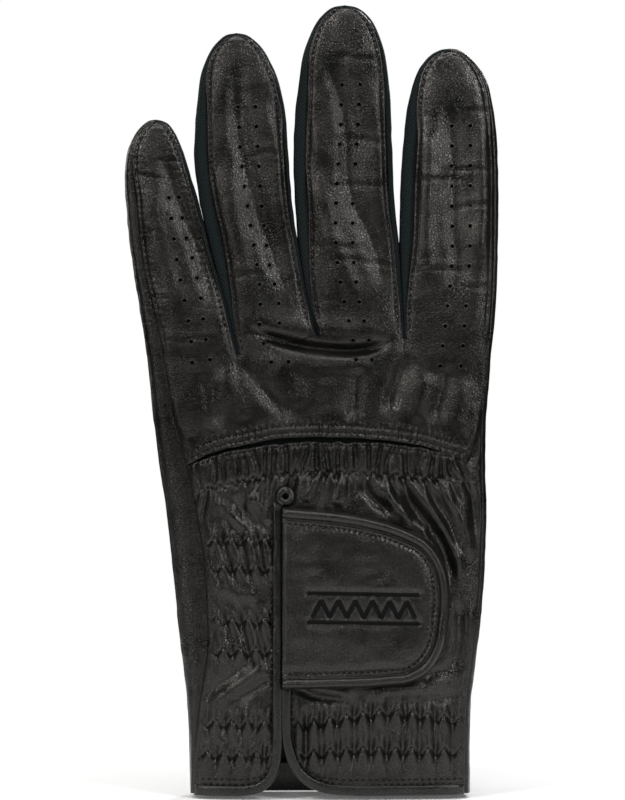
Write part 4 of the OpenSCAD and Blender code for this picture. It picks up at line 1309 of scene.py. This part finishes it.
q = oq[::4]
inset = q - beside(q) * 4.7
inset = inset[inset[:, 0] > -13.0]
P = tab_point(inset[:, 0], inset[:, 1])
finish_piece(tubes("tab_stitching", row_of_stitches(P, np.tile([0, -1.0, 0], (len(P), 1)), 1.85, 1.25, 0.1, 0.15),
    0.24), THREAD_M, "closure_tab")


def satin(path, width, pitch=0.34):
    """Close threads side by side across a line, as in embroidery."""
    q = curve(path)(np.linspace(0, 1, 800)) if len(path) > 2 else mix(np.array(path[0]), np.array(path[1]),
        np.linspace(0, 1, 800)[:, None])
    d = run_of(q)
    at = np.arange(0, d[-1], pitch)
    c = pts(*(np.interp(at, d, q[:, k]) for k in range(2)))
    f = np.linspace(-1, 1, 5)
    XZ = c[:, None] + beside(c)[:, None] * (f[None, :, None] * width / 2)
    rise = 0.26 * np.sqrt(1 - 0.92 * f**2) - 0.05
    P = tab_point(XZ[..., 0], XZ[..., 1])
    P[..., 1] -= rise[None]
    return P


motif = [satin(MOTIF[0][0], 1.1), satin(MOTIF[1][0], 1.1)]
for part, _ in MOTIF[2:]:
    motif.append(satin(part, 1.4))
finish_piece(tubes("tab_motif_thread", np.concatenate(motif), 0.2, 5, 0.6), SATIN_M, "closure_tab")

# fuzzy loop patch on the hand and hook patch under the tab
def patch(name, shrink, lift, thick, material, body, facing):
    u, v = np.linspace(-1, 1, int(44 / STEP)), np.linspace(-1, 1, int(44 / STEP))
    U, V = np.meshgrid(u, v, indexing="ij")
    c = np.array([11.5, 59.5])
    r = 1 / np.maximum(1e-6, (np.abs(U) ** 6 + np.abs(V) ** 6) ** (1 / 6)) * np.maximum(np.abs(U), np.abs(V))
    X, Z = c[0] + 17.5 * shrink * U * r, c[1] + 21.0 * shrink * V * r - 0.12 * (17.5 * U)
    edge = smooth((1 - np.maximum(np.abs(U), np.abs(V))) / 0.08)
    fuzz = 0.12 * fractal(X * 1.6, Z * 1.6, 90, 3)
    y = -(hand_height(X, Z, -1) + lift) - facing * (thick * edge + fuzz * edge)
    finish_piece(panel(name, pts(X, y, Z), (0, facing, 0), flip=facing > 0, lip=0.3), material, body)


LOOP = fleece("loop_fleece", (0.004, 0.004, 0.004), (0.02, 0.02, 0.02), 1500.0, 0.0002)
HOOK = fleece("hook_stubble", (0.004, 0.004, 0.0042), (0.024, 0.024, 0.026), 1100.0, 0.0003)
ELASTIC = fleece("elastic_web", (0.006, 0.006, 0.006), (0.02, 0.02, 0.02), 900.0, 0.0001)
LABEL = fleece("label_cloth", (0.32, 0.32, 0.30), (0.5, 0.5, 0.48), 2600.0, 0.00003)
patch("loop_fleece_patch", 1.0, 0.2, 0.45, LOOP, "hand", 1)
patch("hook_fleece_patch", 0.86, 1.1, 0.2, HOOK, "closure_tab", -1)


def inner_band(name, face, x0, x1, z0, z1, depth, material, slot):
    """A strip of elastic or cloth that lies against the inside of the leather."""
    X, Z = np.meshgrid(np.linspace(x0, x1, int((x1 - x0) / STEP / 1.2)),
        np.linspace(z0, z1, max(6, int((z1 - z0) / STEP))), indexing="ij")
    rel = 0.5 * (back_relief(X, Z) if face < 0 else palm_relief(X, Z) * palm_fade(X, Z))
    y = face * (hand_height(X, Z, face) - depth + np.minimum(rel, 0))
    finish_piece(panel(name, pts(X, y, Z), (0, -face, 0), flip=face > 0, lip=0.5), material, "hand")


for name, face, *box in (
    ("knuckle_elastic_band", -1, -40, 42, 93.5, 99, 1.5),
    ("wrist_elastic_band", -1, -34.5, -18.5, 42, 80, 1.5),
    ("cuff_elastic_left", -1, -37.5, -19, 10.5, 25, 1.5),
    ("cuff_elastic_right", -1, -8, 38, 10.5, 27, 1.6),
    ("palm_elastic_band", 1, -34, 34, 21, 35, 1.5),
):
    inner_band(name, face, *box, ELASTIC, "elastic_tape")
inner_band("size_label_cloth", 1, 2, 17, 3.2, 13, 1.3, LABEL, "label_cloth")

# hem turned in round the palm's lower edge
X, W = np.meshgrid(np.linspace(-37.2, 38.2, int(76 / STEP)), np.linspace(-1, 1, 17), indexing="ij")
turn = W * math.pi / 2
Z = 0.5 + np.where(W < 0, 0, 9.0 * W) - 0.45 * np.cos(turn)
y = (
    hand_height(X, np.clip(Z, 0.4, None), 1) - 0.1 - 0.75
    * (1 + np.sin(np.clip(turn * 1.6, -math.pi / 2, math.pi / 2))) * 0.55
)
y = y + 0.05 * np.cos(2 * math.pi * X / STITCH) * (W > 0)
finish_piece(panel("palm_hem_turning", pts(X, y, Z), (0, 1, 0), lip=0.3), BINDING, "hand")
x = np.linspace(-36, 36, 400)
finish_piece(tubes("palm_hem_stitching", row_of_stitches(
    pts(x, hand_height(x, 0 * x + 5.5, 1) + palm_relief(x, 0 * x + 5.5), 0 * x + 5.5), np.tile([0, 1.0, 0],
        (400, 1)), STITCH, THREAD), 0.17), THREAD_M, "hand")

# small cloth saddles at the bottom of each gap between two fingers
for (cx, cz), word in zip(CROTCH, ("little_ring", "ring_middle", "middle_index")):
    W, Q = np.meshgrid(np.linspace(-1, 1, 24), np.linspace(-1, 1, 9), indexing="ij")
    X = cx + 1.1 * Q
    Z = cz - 0.2 + 1.1 * Q**2 - 1.0 * np.abs(W) ** 4
    y = W * (hand_height(X, Z, 1) - 0.4)
    finish_piece(panel(f"fork_{word}_saddle", pts(X, y, Z), (0, 0, -1), flip=True, lip=0.3), KNIT,
        "hand")

# ------------------------------------------------------------------ thumb, folded over the palm
THUMB_LOW = [(41.5, 46), (27.7, 54.1), (13.2, 65.7), (-1.0, 80.0), (-14, 96), (-17.6, 101.6), (-19.3, 107.2),
    (-19.2, 112.8), (-17, 117)]
THUMB_TOP = [(41.5, 98), (33.6, 99.7), (24.4, 103.4), (14.4, 109.1), (4, 117), (-1.2, 119.9), (-6.7, 121.4),
    (-12.3, 120.8), (-17, 117)]
thumb_low, thumb_top = curve(THUMB_LOW), curve(THUMB_TOP)
THUMB_Y = 16.0


def thumb_at(s, u, face, inset=0.0):
    a, b = thumb_low(s), thumb_top(s)
    c, d = (a + b) / 2, (b - a) / 2
    k = 1 - inset / np.maximum(np.linalg.norm(d, axis=-1), inset + 0.02)
    xz = c + d * (u * k)[..., None]
    half = 4.7 * (1 - 0.55 * np.clip((s - 0.72) / 0.28, 0, 1) ** 2.2)
    e = 0.2 * fractal(xz[..., 0] / 7, xz[..., 1] / 7, 500 + face, 3)
    for at in (0.34, 0.40, 0.58, 0.63, 0.8):
        e = e - 0.5 * bell(s - at - 0.02 * u, 0.008) * (1 - u**4)
    dist = (1 - np.abs(u)) * np.linalg.norm(d, axis=-1)
    e = (e - 0.35 * bell(dist - 1.1, 0.6)) * smooth(dist / 0.8)
    return pts(xz[..., 0], THUMB_Y + face * (half * mix(EDGE, 1, arch(u)) + e), xz[..., 1])


S0 = 0.06
for face, word, flip in ((1, "outer", True), (-1, "inner", False)):
    s_ = mix(S0, TIP, finger_rows(int(90 / STEP / 1.2)))
    u_ = crowd(int(40 / STEP))
    S, U = np.meshgrid(s_, u_, indexing="ij")
    o = panel(f"thumb_{word}_skin", thumb_at(S, U, face, 1.3), (0, -face, 0), flip=not flip,
        joined=edge_rows(S.shape, "first"))
    finish_piece(o, LEATHER, "thumb")
    lines = []
    for side in (-1, 1):
        s2 = np.linspace(S0 + 0.01, 0.985, 600)
        d = np.linalg.norm(thumb_top(s2) - thumb_low(s2), axis=-1) / 2
        u2 = side * (1 - np.minimum(1.1, 0.3 * d) / d)
        P = thumb_at(s2, u2, face, 1.3)
        lines.append(row_of_stitches(P, np.tile([0, float(face), 0], (600, 1)), STITCH, THREAD, 0.02, 0.2))
    finish_piece(tubes(f"thumb_{word}_stitching", np.concatenate(lines), 0.24), THREAD_M, "thumb")
for side, word in ((-1, "low"), (1, "top")):
    S, W = np.meshgrid(s_, np.linspace(-1, 1, int(14 / STEP)), indexing="ij")
    lo, hi = thumb_at(S, np.full(S.shape, float(side)), -1, 1.3), thumb_at(S, np.full(S.shape, float(side)), 1, 1.3)
    rim = thumb_at(S, np.full(S.shape, float(side)), 1, 0.0)
    P = mix(lo, hi, (np.sin(W * math.pi / 2)[..., None] + 1) / 2)
    k = (1 - np.abs(W) ** 2.6)[..., None]
    P[..., [0, 2]] = P[..., [0, 2]] + (rim[..., [0, 2]] - P[..., [0, 2]]) * k
    finish_piece(panel(f"thumb_side_{word}_skin", P, (0, 0, -side), flip=side < 0, lip=0.3,
        joined=edge_rows(S.shape, "first")), LEATHER, "thumb")

# the gusset from the hand's outer edge and the palm to the thumb's root
GUSSET_LOW, GUSSET_HIGH, PALM_X, EDGE_Y = 46.3, 100.5, 31.0, 3.2
k1, k2 = int(40 / STEP), int(14 / STEP)
u1 = np.linspace(-1, 1, k1)
w1 = np.linspace(1, -1, k2)[1:-1]
ring_b, ring_a = [], []


def thumb_root(u, face):
    return thumb_at(np.array(S0), np.array(float(u)), face, 1.3)


def palm_y(x, z):
    return float(hand_height(np.array(x), np.array(z), 1))


def gusset_side(face, steps):
    """The gusset's two edges along the outer side of the hand, or along the palm."""
    for u in steps:
        z = mix(GUSSET_LOW, GUSSET_HIGH, (u + 1) / 2)
        ring_b.append(thumb_root(u, face))
        ring_a.append((HAND_RIGHT(z) - 0.6, EDGE_Y, z) if face > 0 else (PALM_X, palm_y(PALM_X, z) - 0.1, z))


def gusset_end(z0, u, rise, start, end):
    """The same round its upper or lower end, from face to face."""
    side_x = HAND_RIGHT(z0) - 0.6
    for w in w1:
        t = (1 - w) / 2
        bow = math.sin(math.pi * t)
        ring_b.append(mix(thumb_root(u, start), thumb_root(u, end), t) + np.array([0, 0, 0.9 * u * bow]))
        z = z0 + rise * bow
        if start > 0:
            x = mix(side_x, PALM_X, t)
            ring_a.append((x, mix(EDGE_Y, palm_y(x, z), smooth(t / 0.3)) - 0.1, z))
        else:
            x = mix(PALM_X, side_x, t)
            ring_a.append((x, mix(palm_y(x, z), EDGE_Y, smooth((t - 0.7) / 0.3)) - 0.1, z))


gusset_side(1, u1)
gusset_end(GUSSET_HIGH, 1, 0.8, 1, -1)
gusset_side(-1, u1[::-1])
gusset_end(GUSSET_LOW, -1, -0.4, -1, 1)
ring_a, ring_b = np.array(ring_a + ring_a[:1]), np.array(ring_b + ring_b[:1])
outer = np.clip((ring_b[:, 1:2] - 11.3) / 9.4, 0, 1)
c1 = ring_a + mix(np.array([1.2, 1.4, 0]), np.array([0.6, 9.5, 0]), outer)
c2 = ring_b + mix(np.array([-2.0, -0.4, 0]), np.array([7.5, 0.2, 0]), outer)
T = np.linspace(0, 1, int(20 / STEP))[:, None, None]
P = ring_a * (1 - T) ** 3 + 3 * c1 * T * (1 - T) ** 2 + 3 * c2 * T**2 * (1 - T) + ring_b * T**3
bulk = np.sin(T[..., 0] * math.pi)
P[..., 0] -= 0.35 * bulk * np.abs(fractal(P[..., 2] / 6, T[..., 0] * 3 + 0 * P[..., 2], 520, 3)) * outer[:, 0]
P[..., 1] += 0.45 * bulk * fractal(P[..., 2] / 5, T[..., 0] * 2.5 + 0 * P[..., 2], 521, 3) * outer[:, 0]
o = panel("thumb_gusset_skin", P, (0, 0, 0), flip=True, lip=0.0, joined=edge_rows(P.shape[:2], "last"))
paint(o, LEATHER)
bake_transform(o)
pieces[o.name] = o
line = P[2, : k1]
line = pts(*(np.interp(np.linspace(0, 1, 500), np.linspace(0, 1, k1), line[:, k]) for k in range(3)))
finish_piece(tubes("thumb_seam_stitching", row_of_stitches(line, np.tile([1.0, 0, 0], (500, 1)), STITCH, THREAD),
    0.17), THREAD_M, "hand")

# ------------------------------------------------------------------ which CAD pieces each of these stands for
STANDS_FOR = {
    "knuckle_skin": ["knuckle_panel"],
    "wrist_skin": ["wrist_panel"],
    "palm_skin": ["palm_panel"],
    "slit_insert_cloth": ["stretch_insert"],
    "knuckle_elastic_band": ["knuckle_elastic"],
    "wrist_elastic_band": ["wrist_elastic"],
    "cuff_elastic_right": ["cuff_elastic"],
    "palm_elastic_band": ["palm_elastic"],
    "edge_binding_left": ["vent_binding_little", "cuff_binding_little"],
    "edge_binding_right": ["cuff_binding_index", "vent_binding_index"],
    "vent_curl": ["vent_bartack"],
    "palm_hem_turning": ["palm_hem"],
    "loop_fleece_patch": ["loop_patch"],
    "size_label_cloth": ["size_label"],
    "tab_leather_skin": ["tab_leather", "tab_stiffener", "tab_edge_roll"],
    "tab_lining": ["tab_backing"],
    "tab_motif_thread": ["tab_motif"],
    "hook_fleece_patch": ["hook_patch"],
}
STANDS_FOR.update({f"fork_{k}_saddle": [f"fork_{k}"] for k in ("little_ring", "ring_middle", "middle_index")})
STANDS_FOR.update({f"thumb_{k}_skin": [f"thumb_{k}"] for k in ("gusset", "outer", "inner", "side_low", "side_top")})
for name in NAMES:
    STANDS_FOR.update({f"{name}_{k}_skin": [f"{name}_{k}"] for k in ("back", "front")})
for name in ("ring", "middle"):
    for side, word in (("left", "outer"), ("right", "inner")):
        STANDS_FOR[f"{name}_{side}_side"] = [f"{name}_fourchette_{word}"]
STANDS_FOR["little_right_side"], STANDS_FOR["index_left_side"] = ["little_fourchette"], ["index_fourchette"]
weld_shading()
for key, nodes in STANDS_FOR.items():
    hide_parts(*nodes)

# floor
ring = [(280 * math.cos(a), 280 * math.sin(a), -0.3) for a in np.linspace(0, 2 * math.pi, 97)[:-1]]
floor = link("floor", [(0, 0, -0.3)] + ring, [[0, 1 + k, 1 + (k + 1) % 96] for k in range(96)], False)
m, t, b = nodes_of("floor")
feed(t, b, Base_Color=(0.9, 0.9, 0.9, 1), Roughness=0.9, Emission_Color=(1, 1, 1, 1), Emission_Strength=0.1)
paint(floor, m)
